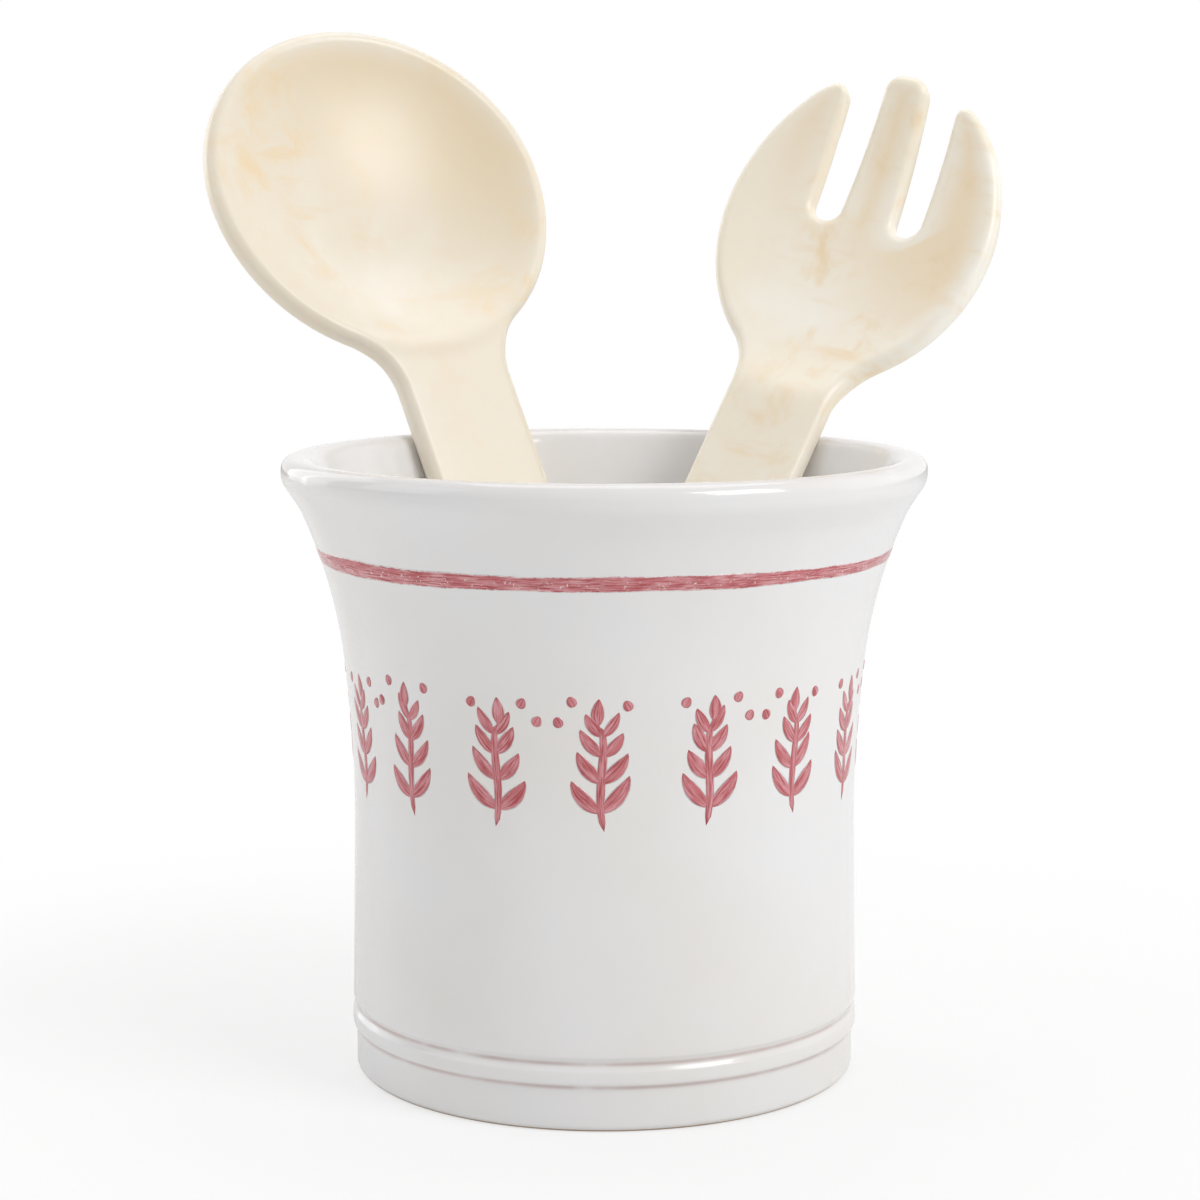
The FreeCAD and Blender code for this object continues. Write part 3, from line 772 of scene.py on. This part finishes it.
    def outer_wall(self, bearing: Array, height: Array, lift: Array) -> Array:
        """Find points on or just above the outside.

        Args:
            bearing: Angle from the front, in radians.
            height: Height in millimetres.
            lift: Distance out of the surface in millimetres.

        Returns:
            Points, with x = radius times sine and y = -radius times cosine of the bearing.
        """
        points = self.glazed(self.sections()[0])
        above = points[points.imag > self.foot_height + self.bead_height]
        low, radius, high = (
            np.interp(height + shift, above.imag, above.real) for shift in (-0.5, 0, 0.5))
        long = np.hypot(1, high - low)
        radius = radius + self.throwing(bearing, height) + lift / long
        return np.stack([radius * np.sin(bearing), -radius * np.cos(bearing),
                         height - lift * (high - low) / long], axis=-1)

    def pot(self) -> bpy.types.Object:
        """Turn the profile about the axis into the whole pot, inside and out.

        Returns:
            The pot. Its mark thin is where the glaze is thin, in the grooves and on the
            crown, and its mark bare is the unglazed ring that it stands on.
        """
        profile = self.profile()
        bearing = np.linspace(0, 2 * np.pi, self.columns, endpoint=False)[None, :]
        radius, height = profile.real[:, None], profile.imag[:, None] + 0 * bearing
        outer = (np.arange(self.rows) <= np.argmax(profile.imag))[:, None]
        spread = radius + np.where(outer, self.throwing(bearing, height), 0) * (radius > 1)
        points = np.stack([spread * np.sin(bearing), -spread * np.cos(bearing), height], axis=-1)

        bead_foot, bead_top = self.foot_height + 0.9, self.foot_height + self.bead_height
        low, high, edge = (np.exp(-((height - middle) / width) ** 2) for middle, width in (
            (bead_foot, 0.55), (bead_top, 0.5), (self.height, 1.3)))
        thin = np.where(outer & (radius > self.foot_radius - 2), low + high, 0.0)
        ring = outer & (radius > self.recess_radius - 3)
        return sheet_object("crock_pot", points[None], marks={
            "thin": np.clip(thin + 0.25 * edge, 0, 1)[None],
            "bare": np.where(ring, 1 - eased(height, *self.unglazed), 0.0)[None]})

    def build(self, glaze: TinGlaze) -> bpy.types.Object:
        """Make the glazed pot, which stands for the CAD crock."""
        pot = dressed(self.pot(), glaze.material("tin_glaze"), "crock")
        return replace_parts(pot, "crock")


@dataclass(frozen=True)
class Painting:
    """What is brushed on the outside: a band under the flare and a row of herb sprigs."""

    crock: Crock
    relief: float = 0.13
    band_height: float = 130.0
    band_half: float = 1.5
    band_sway: tuple[tuple, ...] = ((0.22, 1, 0.4), (0.13, 4, 1), (0.07, 11, 0))
    band_swell: tuple[tuple, ...] = (
        (0.30, 1, 0.9 + math.pi / 2), (0.09, 5, 0), (0.06, 13, 2), (0.05, 31, 0))
    band_columns: int = 420
    band_rows: int = 14
    sprigs: int = 16
    sprig_wall: float = 1.5  # how far the wall has left its waist at the sprigs
    sprig_foot: float = 71.5
    sprig_height: float = 30.0
    sprig_stray: tuple[float, ...] = (0.5, 0.7, 0.8)  # round the wall, of its foot, of height
    stem_width: float = 2.3
    stem_sway: tuple[float, ...] = (0, 2.6, -1.6, 1.2)
    stem_rise: tuple[float, ...] = (0, 0.3, 0.7, 0.84)
    leaf_joints: tuple[float, ...] = (0.16, 0.40, 0.63, 0.84)
    leaf_length: float = 11.6
    leaf_width: float = 4.0
    leaf_slope: float = 34.0  # degrees
    leaf_steeper: float = 4.0  # degrees for each level up
    leaf_shorter: float = 0.13  # share lost for each level up
    leaf_thinner: float = 0.08  # likewise
    leaf_stray: tuple[float, ...] = (0.05, 4, 0.15)  # share of length, degrees, width
    leaf_curve: tuple[float, ...] = (0, 0.35, 0.62, 0.75)
    tip_width: float = 0.86  # as a share of a leaf's
    berry: float = 2.7
    berry_stray: float = 0.3
    berry_places: tuple[tuple[float, float], ...] = ((6.6, 0.99), (10.0, 0.84), (-6.2, 0.97))
    stem_end: float = 0.30  # powers that make a stroke's ends blunt or pointed
    leaf_end: float = 0.75
    berry_end: float = 0.5
    stroke_rows: int = 13
    stroke_columns: int = 8
    seed: int = 7

    @property
    def reach(self) -> float:
        """Radius of the wall that the sprigs are laid out on."""
        return self.crock.waist_radius + self.sprig_wall

    def band(self) -> bpy.types.Object:
        """Make the band as a flat ring of paint whose width and height waver.

        Its section is an ellipse: the middle plus half the width times the cosine up the
        wall, and the relief times the sine out of it.

        Returns:
            The band.
        """
        bearing = np.linspace(0, 2 * np.pi, self.band_columns, endpoint=False)[:, None]
        phase = np.linspace(0, 2 * np.pi, self.band_rows, endpoint=False)[None, :]
        half = self.band_half + waver(bearing, self.band_swell)
        height = self.band_height + waver(bearing, self.band_sway) + 1.12 * half * np.cos(phase)
        points = self.crock.outer_wall(bearing + 0 * phase, height, self.relief * np.sin(phase))
        blank = np.zeros(height.shape)
        return sheet_object("painted_band", points[None], loop=True, marks={
            "along": (bearing * self.crock.rim_radius + blank)[None],
            "across": (np.cos(phase) + blank)[None], "run": (0.5 + blank)[None]})

    def strokes(self) -> tuple[Array, Array, Array]:
        """Lay out every brush stroke of the sprigs on the unrolled wall.

        Each sprig has a bowed stem, pairs of leaves that get shorter upwards, one leaf at
        its tip and three berries beside it. A stroke is a Bezier curve of four points.

        Returns:
            The curves' points (strokes, 4) as distance round plus 1j times height, the
            strokes' widths, and the powers of their ends.
        """
        chance = np.random.default_rng(self.seed)
        pitch = 2 * np.pi / self.sprigs
        made = []
        for number in range(self.sprigs):
            round_, up, taller = chance.normal(0, self.sprig_stray)
            base = complex(pitch * number * self.reach + round_, self.sprig_foot + up)
            side = 1 if number % 2 else -1
            tall = self.sprig_height + taller
            stem = base + side * np.array(self.stem_sway) + 1j * tall * np.array(self.stem_rise)
            made.append((stem, self.stem_width, self.stem_end))
            for level, share in enumerate(self.leaf_joints):
                joint = (stem * bezier(share)).sum()
                for way in (-1, 1):
                    longer, steeper, wider = chance.normal(0, self.leaf_stray)
                    size = self.leaf_length * (1 - self.leaf_shorter * level) * (1 + longer)
                    slope = math.radians(self.leaf_slope + self.leaf_steeper * level + steeper)
                    out = size * complex(way * math.cos(slope), math.sin(slope))
                    leaf = joint + out * np.array(self.leaf_curve)
                    leaf += np.array([0, 0, 0.6j, 0.28j * size])
                    width = self.leaf_width * (1 - self.leaf_thinner * level) + wider
                    made.append((leaf, width, self.leaf_end))
            tip = stem[-1] + np.array([0, side * 0.6 + 2j, side * 0.2 + 4j, 6.4j])
            made.append((tip, self.leaf_width * self.tip_width, self.leaf_end))
            for away, rise in self.berry_places:
                start = base + side * away + 1j * rise * tall + complex(
                    *chance.normal(0, self.berry_stray, 2))
                dab = start + np.linspace(0, self.berry, 4) * (0.5 * side + 0.86j)
                made.append((dab, self.berry, self.berry_end))
        curves, widths, powers = zip(*made)
        return np.array(curves), np.array(widths), np.array(powers)

    def leaves(self) -> bpy.types.Object:
        """Make all strokes of the sprigs as slim closed lenses of paint on the wall.

        A stroke's section is an ellipse across its curve. Its width is the stroke's width
        times the sine of pi t to the stroke's power, so both ends close to a point.

        Returns:
            The strokes, as one object.
        """
        curves, widths, power = self.strokes()
        number = np.arange(len(widths))[:, None]
        t = np.linspace(0, 1, self.stroke_rows)[None, :]
        middle = (bezier(t) * curves[:, None, :]).sum(-1)
        right = -1j * unit(np.gradient(middle, axis=1))
        swell = np.abs(np.sin(np.pi * t ** 0.85)) ** power[:, None]
        swell[:, [0, -1]] = 0
        half = 0.5 * widths[:, None] * swell
        phase = np.linspace(0, 2 * np.pi, self.stroke_columns, endpoint=False)
        flat = middle[..., None] + (half * right)[..., None] * np.cos(phase)
        thick = self.relief * (1 + 0.04 * (number % 7)) * swell ** 0.5
        points = self.crock.outer_wall(
            flat.real / self.reach, flat.imag, thick[..., None] * np.sin(phase))
        travel = np.cumsum(np.abs(np.diff(middle, axis=1, prepend=middle[:, :1])), axis=1)
        blank = np.zeros(flat.shape)
        return sheet_object("painted_sprigs", points, marks={
            "along": (travel + 53.0 * number)[..., None] + blank,
            "across": np.cos(phase) + blank, "run": t[..., None] + blank})

    def build(self) -> None:
        """Make the band and the sprigs, each in its own paint."""
        band = BrushPaint(flecks=0.85, streak=3.4, ragged=0.24)
        sprig = BrushPaint(streak=2.0, pooled=0.9, ragged=0.12, pale=tint(222, 158, 165))
        dressed(self.band(), band.material("band_paint"), "crock")
        dressed(self.leaves(), sprig.material("sprig_paint"), "crock")


# The servers.


@dataclass(frozen=True)
class Server:
    """A pressed server: flat handle, neck, and a head dished over a ball with a rolled bend.

    The bend is looser here than on the part, which moves its faces by 0.35 mm at most.
    In its own frame x goes across it, y out of its back, and z along it from its foot end.
    """

    name: str
    body: str
    joint: str
    length: float
    handle_width: float
    neck_round: float
    head_width: float
    head_reach: float
    flank_radius: float
    cheek_radius: float
    dish_reach: float
    dish_depth: float
    dish_radius: float
    bend_radius: float
    bearing: float
    foot_across: float
    foot_back: float
    roll: float
    gauge: float = 6.5
    edge_round: float = 2.5
    floor_level: float = 8.3
    tip_gap: float = 0.45  # share of half the head's width between the middle line and tip
    # painted shade: the dish is painted darker over these distances from its side and along the
    # slant
    shade_inset: tuple[float, float] = (1.5, 10.0)  # distances from the side, and along the
    shade_slant: tuple[float, float] = (-14.0, 30.0)  # slant, over which the dish darkens
    columns: int = 360
    rows: int = 34
    edge_rows: int = 9

    @property
    def half(self) -> float:
        """Half the handle's width."""
        return self.handle_width / 2

    @property
    def tip_ball(self) -> tuple[complex, float]:
        """The tip's arc, which touches the cheek's circle from inside.

        Returns:
            Its centre and radius.
        """
        cheek = self.head_width / 2 - self.cheek_radius
        radius = (self.cheek_radius ** 2 - cheek ** 2 - self.head_reach ** 2) / (
            2 * (self.cheek_radius - self.head_reach))
        return complex(0, self.length - radius), radius

    def side_runs(self) -> list[Run]:
        """Draw the right side from the foot's end to the end of the cheek's arc.

        Returns:
            The foot's round, the handle's side, the neck, the flank and the cheek.
        """
        head, widest = self.head_width / 2, self.length - self.head_reach
        flank = complex(head - self.flank_radius, widest)
        cheek = complex(head - self.cheek_radius, widest)
        neck_x = self.half + self.neck_round
        drop = math.sqrt((self.flank_radius + self.neck_round) ** 2 - (neck_x - flank.real) ** 2)
        neck = complex(neck_x, widest - drop)
        meet = flank + unit(neck - flank) * self.flank_radius
        tip, radius = self.tip_ball
        away = 1 if self.cheek_radius > radius else -1
        turn_over = cheek + away * self.cheek_radius * unit(tip - cheek)
        heel, shoulder = complex(self.half, self.half), complex(self.half, neck.imag)
        return [arc(1j * self.half, 0j, heel, Turn.LEFT), straight(heel, shoulder),
                arc(neck, shoulder, meet, Turn.RIGHT),
                arc(flank, meet, complex(head, widest), Turn.LEFT),
                arc(cheek, complex(head, widest), turn_over, Turn.LEFT)]

    def half_grid(self) -> tuple[Run, Array, Array]:
        """Sample the right side, and say which point of the middle line faces each sample.

        Returns:
            The samples, their middle points, and the edge's round at each of them.
        """
        tip, _ = self.tip_ball
        runs = self.side_runs()
        runs.append(arc(tip, runs[-1].points[-1], complex(0, self.length), Turn.LEFT))
        outline = Outline(runs)
        side = outline.at(np.linspace(0, outline.travel[-1], self.columns))
        top = self.length - self.tip_gap * self.head_width / 2
        middle = 1j * np.clip(side.points.imag, self.half, top)
        return side, middle, np.full(self.columns, self.edge_round)

    def face(self, place: Array, outer: float) -> Array:
        """Work out one face's depth over the outline's plane.

        It is the dish's ball, and on the handle's side then the bend's arc and then the flat
        handle. The back's arcs share the dished face's centres.

        Args:
            place: Points of the outline's plane.
            outer: 0 for the dished face, and the gauge for the back.

        Returns:
            The depth, out of the back, in millimetres.
        """
        middle = self.length - self.dish_reach
        away = np.abs(place - 1j * middle)
        both = self.dish_radius + self.bend_radius
        far = math.sqrt(both ** 2 - (both - self.dish_depth) ** 2)
        ball, bend = self.dish_radius + outer, self.bend_radius - outer
        flat = outer - self.gauge / 2
        dish = self.dish_depth - self.gauge / 2 - self.dish_radius + np.sqrt(
            np.maximum(ball ** 2 - away ** 2, 0))
        roll = self.bend_radius - self.gauge / 2 - np.sqrt(
            np.maximum(bend ** 2 - (far - away) ** 2, 0))
        handle = np.where(away < far * ball / both, dish, np.where(away < far, roll, flat))
        return np.where(place.imag >= middle, dish, handle)

    def edge(self, side: Run, round_: Array, outer: float) -> tuple[Array, Array]:
        """Round the edge between one face and the outline's wall.

        The rolling ball's centre is one round inside the wall and one round off the sloping
        face; the arc goes from its touch on the face to its touch on the wall.

        Args:
            side: Samples of the outline.
            round_: Radius at each sample.
            outer: 0 for the dished face, and the gauge for the back.

        Returns:
            Places (edge rows, samples) in the outline's plane, and their depths.
        """
        sign = -1 if outer == 0 else 1
        inner = side.points - round_ * side.normals
        small = 0.05
        slope = (self.face(inner - small * side.normals, outer)
                 - self.face(inner + small * side.normals, outer)) / (2 * small)
        centre = self.face(inner, outer) - sign * round_ * np.hypot(1, slope)
        angles = np.linspace(np.arctan2(sign, -sign * slope), sign * np.pi, self.edge_rows)
        places = side.points - round_ * (1 + np.cos(angles)) * side.normals
        depths = centre + round_ * np.sin(angles)
        depths[0] = self.face(places[0], outer)
        return places, depths

    def painted_dish_shade(self, places: Array, side: Array) -> Array:
        """Paint shade into the dish: rise from 0 to 1 in from its side, and towards its tip and
        its right.
        """
        slant = 0.7 * (places.real + places.imag - self.length + self.dish_reach)
        return eased(np.abs(places - side), *self.shade_inset) * eased(slant, *self.shade_slant)

    def skin(self) -> tuple[Array, Array]:
        """Work out the whole closed surface in the server's own frame.

        Each column starts at the middle line of the dished face, goes out to the edge's
        round, over it and down the wall, round the back's edge and in to the middle again.

        Returns:
            Points shaped (1, rows, columns, 3), and the share of painted shade at each of them.
        """
        side, middle, round_ = self.half_grid()
        shares = np.linspace(1, 0, self.rows)[:-1, None]
        halves = []
        for outer in (0.0, self.gauge):
            places, depths = self.edge(side, round_, outer)
            inner = places[0] + shares * (middle - places[0])
            halves.append((np.concatenate([inner, places]),
                           np.concatenate([self.face(inner, outer), depths])))
        places, depths = (
            np.concatenate([front, back[::-1]]) for front, back in zip(*halves))
        right = np.stack([places.real, depths, places.imag], axis=-1)
        left = right[:, -2:0:-1] * np.array([-1, 1, 1])
        front = (np.arange(len(places)) < len(places) / 2)[:, None]
        mirror = -places.conj()[:, -2:0:-1]
        # painted shade, on the dished face only
        shade = np.concatenate([self.painted_dish_shade(places, side.points),
                                self.painted_dish_shade(mirror, -side.points.conj()[-2:0:-1])], axis=1)
        return np.concatenate([right, left], axis=1)[None], (front * shade)[None]

    def stance(self) -> tuple[Array, Array]:
        """Find the server's turn and place in the row's frame.

        Its length is the CAD joint's axis, along which it slides out. It lies on the lip at
        its bearing, rolled about its length, with its foot end on the floor.

        Returns:
            A matrix whose columns are across, back and along, and the foot end's place.
        """
        joint = next(j for j in frame["joints"] if j["name"] == self.joint)
        along = np.array(joint["axis"]) / np.linalg.norm(joint["axis"])
        turn, roll = math.radians(self.bearing), math.radians(self.roll)
        face = np.cross([math.cos(turn), math.sin(turn), 0], along)
        face = face / np.linalg.norm(face) * (-1 if face[1] > 0 else 1)
        face = face * math.cos(roll) + np.cross(along, face) * math.sin(roll)
        across = np.cross(along, face)
        edge = self.edge_round
        low = ((self.half - edge) * math.hypot(along[2], across[2])
               + (self.gauge / 2 - edge) * abs(face[2]) + edge)
        foot = np.array([self.foot_across, self.foot_back,
                         self.floor_level + low - self.half * along[2]])
        return np.stack([across, -face, along], axis=1), foot

    def build(self, resin: CastResin) -> bpy.types.Object:
        """Make the server, which stands for its CAD node.

        Args:
            resin: Its finish.

        Returns:
            The server.
        """
        own, shade = self.skin()
        turn, foot = self.stance()
        # the dish's painted shade goes into the mesh as a mark for the resin
        made = sheet_object(self.name, own @ turn.T + foot, marks={
            "own": own * MM, "painted_dish_shade": shade})
        slot = self.body.replace("serving_", "") + "_resin"
        dressed(made, resin.material(slot), self.body)
        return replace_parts(made, self.body)


@dataclass(frozen=True)
class Fork(Server):
    """The server whose head is cut by two slots into three tines."""

    slot_root_radius: float = 4.0
    slot_root_across: float = 12.0
    slot_depth: float = 42.0
    slot_mouth_inner: float = 5.9
    slot_mouth_outer: float = 16.2
    middle_tine_round: float = 4.8
    outer_tine_round: float = 2.9
    crotch: float = 11.0  # how far below the slots the middle line parts
    first_knot: complex = 0.52 + 6.5j  # share of the tine's middle, and rise over the crotch
    first_level: float = 6.0  # over the crotch
    levels: tuple[float, ...] = (1.5, 14.0, 24.0)  # over the middle of the slot's root
    shares: tuple[float, ...] = (0, 0.2, 0.42, 0.72, 0.9, 1)  # of the branch, at its knots
    softening: int = 9
    tine_gap: float = 1.15  # share of the slot's mouth between the middle line and tip
    tine_shares: tuple[float, ...] = (0, 0.2, 0.86, 1)  # of the middle tine, at its knots
    sharper: float = 0.55  # how much smaller the edge's round is at the outer tine's tip
    sharper_over: tuple[float, float] = (3.0, 12.0)  # distances over which it grows back
    handle_columns: int = 190
    tine_columns: int = 96

    def tine_end(self, mouth: complex, foot: complex, radius: float, outer: bool) -> Run:
        """Round a tine's corner between the tip's arc and a side of a slot.

        Args:
            mouth: Where the slot's side would cross the level of the tip.
            foot: Where that side touches the slot's root.
            radius: Radius of the round.
            outer: The corner belongs to the outer tine.

        Returns:
            The round, travelled in the outline's direction.
        """
        tip, big = self.tip_ball
        heading = unit(mouth - foot)
        into = -1j * heading if outer else 1j * heading
        hub = nested(mouth + into * radius, heading, tip, big - radius)
        ends = (tip + (hub - tip) * big / (big - radius), hub - into * radius)
        return arc(hub, *(ends if outer else ends[::-1]), Turn.LEFT)

    def root_touch(self, root: complex, mouth: complex, side: int) -> complex:
        """Find where the line from a point of the mouth touches the root's circle."""
        turn = side * math.acos(self.slot_root_radius / abs(mouth - root))
        return root + self.slot_root_radius * unit(mouth - root) * np.exp(1j * turn)

    def slotted_runs(self, root: complex) -> tuple[list[Run], complex]:
        """Draw the right side all the way to the middle tine's tip.

        Args:
            root: Middle of the slot's round root.

        Returns:
            The runs, and the middle of the outer tine's round.
        """
        tip, _ = self.tip_ball
        inner = complex(self.slot_mouth_inner, self.length)
        outer = complex(self.slot_mouth_outer, self.length)
        inner_foot = self.root_touch(root, inner, 1)
        outer_foot = self.root_touch(root, outer, -1)
        inner_end = self.tine_end(inner, inner_foot, self.middle_tine_round, False)
        outer_end = self.tine_end(outer, outer_foot, self.outer_tine_round, True)
        bottom = root - 1j * self.slot_root_radius
        runs = self.side_runs()
        runs += [
            arc(tip, runs[-1].points[-1], outer_end.points[0], Turn.LEFT), outer_end,
            straight(outer_end.points[-1], outer_foot),
            arc(root, outer_foot, bottom, Turn.RIGHT), arc(root, bottom, inner_foot, Turn.RIGHT),
            straight(inner_foot, inner_end.points[0]), inner_end,
            arc(tip, inner_end.points[-1], complex(0, self.length), Turn.LEFT)]
        return runs, outer_end.points[0] - self.outer_tine_round * outer_end.normals[0]

    def half_grid(self) -> tuple[Run, Array, Array]:
        """Sample the right side, round the slot, against a branching middle line.

        The middle line parts at the crotch below the slots, up the outer tine and up the
        middle one. Samples on both sides of the outer tine face the same points of its line.

        Returns:
            The samples, their middle points, and the edge's round at each of them.
        """
        root = complex(self.slot_root_across,
                       self.length - self.slot_depth + self.slot_root_radius)
        runs, hub = self.slotted_runs(root)
        outline = Outline(runs)
        *_, cheek_end, tine_start, tine_end, slot_end, bottom, _, _, _, _ = outline.stops
        tine_tip = 0.5 * (tine_start + tine_end)
        crotch = root.imag - self.slot_root_radius - self.crotch
        start = outline.travel_at_height(crotch, outline.stops[1], cheek_end)

        levels = [root.imag + level for level in self.levels]
        climb = [outline.travel_at_height(level, start - 1, tine_start)
                 for level in (crotch + self.first_level, *levels)]
        fall = [outline.travel_at_height(level, tine_tip, slot_end) for level in levels]
        centre = 0.5 * (outline.at(np.array(climb[1:])).points + outline.at(np.array(fall)).points)
        first = complex(self.first_knot.real * centre[0].real, crotch + self.first_knot.imag)
        knots = np.array([1j * crotch, first, *centre, hub])
        share = np.linspace(0, 1, self.tine_columns)
        branch = np.pad(read(share, self.shares, knots), self.softening // 2, "edge")
        branch = np.convolve(branch, np.ones(self.softening) / self.softening, "valid")
        branch[0] = knots[0]

        up = np.interp(share, self.shares, [start, *climb, tine_tip])
        down = np.interp(share, self.shares, [bottom, 0.5 * (slot_end + bottom), *fall, tine_tip])
        top = self.length - self.tine_gap * self.slot_mouth_inner
        middle_tine = 1j * np.interp(share, self.tine_shares, [crotch, root.imag, top, top])
        side = outline.at(np.concatenate([
            np.linspace(0, start, self.handle_columns), up[1:], down[::-1][1:],
            np.linspace(bottom, outline.travel[-1], self.tine_columns)[1:]]))
        spine = 1j * np.clip(side.points.imag[:self.handle_columns], self.half, crotch)
        middle = np.concatenate([spine, branch[1:], branch[::-1][1:], middle_tine[1:]])
        near_tip = 1 - eased(np.abs(side.points - hub), *self.sharper_over)
        return side, middle, self.edge_round - self.sharper * near_tip


SPOON = Server(
    name="spoon", body="serving_spoon", joint="spoon_lift", length=284.8, handle_width=33.4,
    neck_round=20.4, head_width=99.5, head_reach=47.7, flank_radius=52.2, cheek_radius=43.7,
    dish_reach=44.4, dish_depth=16.4, dish_radius=92.0, bend_radius=18.0, bearing=31.2,
    foot_across=17.8, foot_back=5.4, roll=0.0)
FORK = Fork(
    name="fork", body="serving_fork", joint="fork_lift", length=285.5, handle_width=28.9,
    neck_round=22.2, head_width=77.2, head_reach=44.4, flank_radius=49.7, cheek_radius=51.5,
    dish_reach=57.4, dish_depth=6.6, dish_radius=122.0, bend_radius=22.0, bearing=-40.6,
    foot_across=-28.9, foot_back=-23.6, roll=16.8)


# The studio.


@dataclass(frozen=True)
class Lamp:
    """A soft box: where it stands and aims, its size in metres, and its light in watts."""

    name: str
    place: Place
    aim: Place
    size: tuple[float, float]
    power: float

    def build(self) -> None:
        """Hang the lamp, with its -Z towards what it aims at."""
        light = bpy.data.lights.new(self.name, "AREA")
        light.shape = "RECTANGLE"
        light.size, light.size_y = self.size
        light.energy = self.power
        lamp = bpy.data.objects.new(self.name, light)
        back = np.array(self.place) - np.array(self.aim)
        back /= np.linalg.norm(back)
        right = np.cross([0, 0, 1], back)
        right /= np.linalg.norm(right)
        turn = np.eye(4)
        turn[:3, :] = np.stack([right, np.cross(back, right), back, self.place], axis=1)
        lamp.matrix_world = Matrix(turn.tolist())
        bpy.context.scene.collection.objects.link(lamp)


@dataclass(frozen=True)
class Studio:
    """A pale floor, a white surround, soft boxes, and the camera at the photograph's angle."""

    camera_back: float = 742.0
    camera_height: float = 220.2
    pitch: float = 8.0
    focus: float = 3019.0
    across: float = 4.3
    down: float = 4.0
    picture: float = 1200.0
    sensor: float = 36.0
    surround: float = 0.40
    floor_reach: float = 6000.0
    lamps: tuple[Lamp, ...] = (
        Lamp("key_box", (1.05, -0.75, 1.15), (0.0, 0.0, 0.12), (0.75, 0.75), 12.0),
        Lamp("window_box", (-1.3, -0.35, 0.75), (0.0, 0.0, 0.12), (0.9, 1.2), 3.6),
        Lamp("left_box", (-1.1, 0.9, 0.6), (0.0, 0.0, 0.1), (1.0, 1.4), 4.8),
        Lamp("left_strip", (-1.0, 0.75, 0.35), (0.0, 0.0, 0.08), (0.07, 1.0), 0.35),
        Lamp("right_box", (1.2, 0.4, 0.7), (0.0, 0.0, 0.1), (1.0, 1.4), 1.3),
        Lamp("top_box", (0.1, 0.5, 1.6), (0.0, 0.0, 0.1), (1.2, 0.9), 6.0))

    def camera(self) -> None:
        """Place the camera; its lens is the focal length in pixels over the picture's width."""
        data = bpy.data.cameras.new("camera")
        data.sensor_fit = "HORIZONTAL"
        data.sensor_width = self.sensor
        data.lens = self.focus / self.picture * self.sensor
        data.shift_x = -self.across / self.picture
        data.shift_y = self.down / self.picture
        data.clip_start, data.clip_end = 0.01, 50.0
        camera = bpy.data.objects.new("camera", data)
        camera.location = (0.0, -self.camera_back * MM, self.camera_height * MM)
        camera.rotation_euler = (math.radians(90 - self.pitch), 0.0, 0.0)
        bpy.context.scene.collection.objects.link(camera)
        bpy.context.scene.camera = camera

    def world(self) -> None:
        """Surround the set with white, which is dimmer to rays that light it than to others."""
        world = bpy.data.worlds.new("surround")
        bpy.context.scene.world = world
        graph = Graph(world)
        path = graph.node("LightPath")
        camera, mirror, through = (graph.out(path, f"Is {kind} Ray") for kind in (
            "Camera", "Glossy", "Transmission"))
        seen = graph.math("MAXIMUM", camera, graph.math("MAXIMUM", mirror, through))
        sky = graph.node("Background", {}, {
            "Color": WHITE, "Strength": self.surround + (1 - self.surround) * seen})
        graph.node("OutputWorld", {}, {0: graph.out(sky)})

    def floor(self) -> None:
        """Lay the floor, which isn't part of the object."""
        x, y = np.meshgrid(*[[-self.floor_reach, self.floor_reach]] * 2)
        floor = sheet_object("floor", np.stack([x, y, 0 * x], axis=-1)[None], ring=False)
        floor.data.materials.append(Paper().material("floor_paper"))

    def build(self) -> None:
        """Set the camera, the light and the floor, and plain colour management."""
        bpy.context.scene.view_settings.view_transform = "Standard"
        self.camera()
        self.world()
        self.floor()
        for lamp in self.lamps:
            lamp.build()


def main() -> None:
    """Build the studio, the crock, its painting and the two servers."""
    logging.basicConfig(level=logging.INFO, format="%(name)s %(message)s")
    Studio().build()
    crock = Crock()
    crock.build(TinGlaze())
    Painting(crock).build()
    SPOON.build(CastResin(patches=(0.35, 0.2, 0.15)))
    # painted light: the fork's resin is a lighter copy of the spoon's, painting in the difference
    # in light between the two servers
    FORK.build(CastResin(patches=(0.8, 0.4, 0.3), ivory=tint(245, 236, 218),
                         milk=tint(248, 243, 232), shade=tint(240, 221, 188)))


if __name__ == "__main__":
    main()
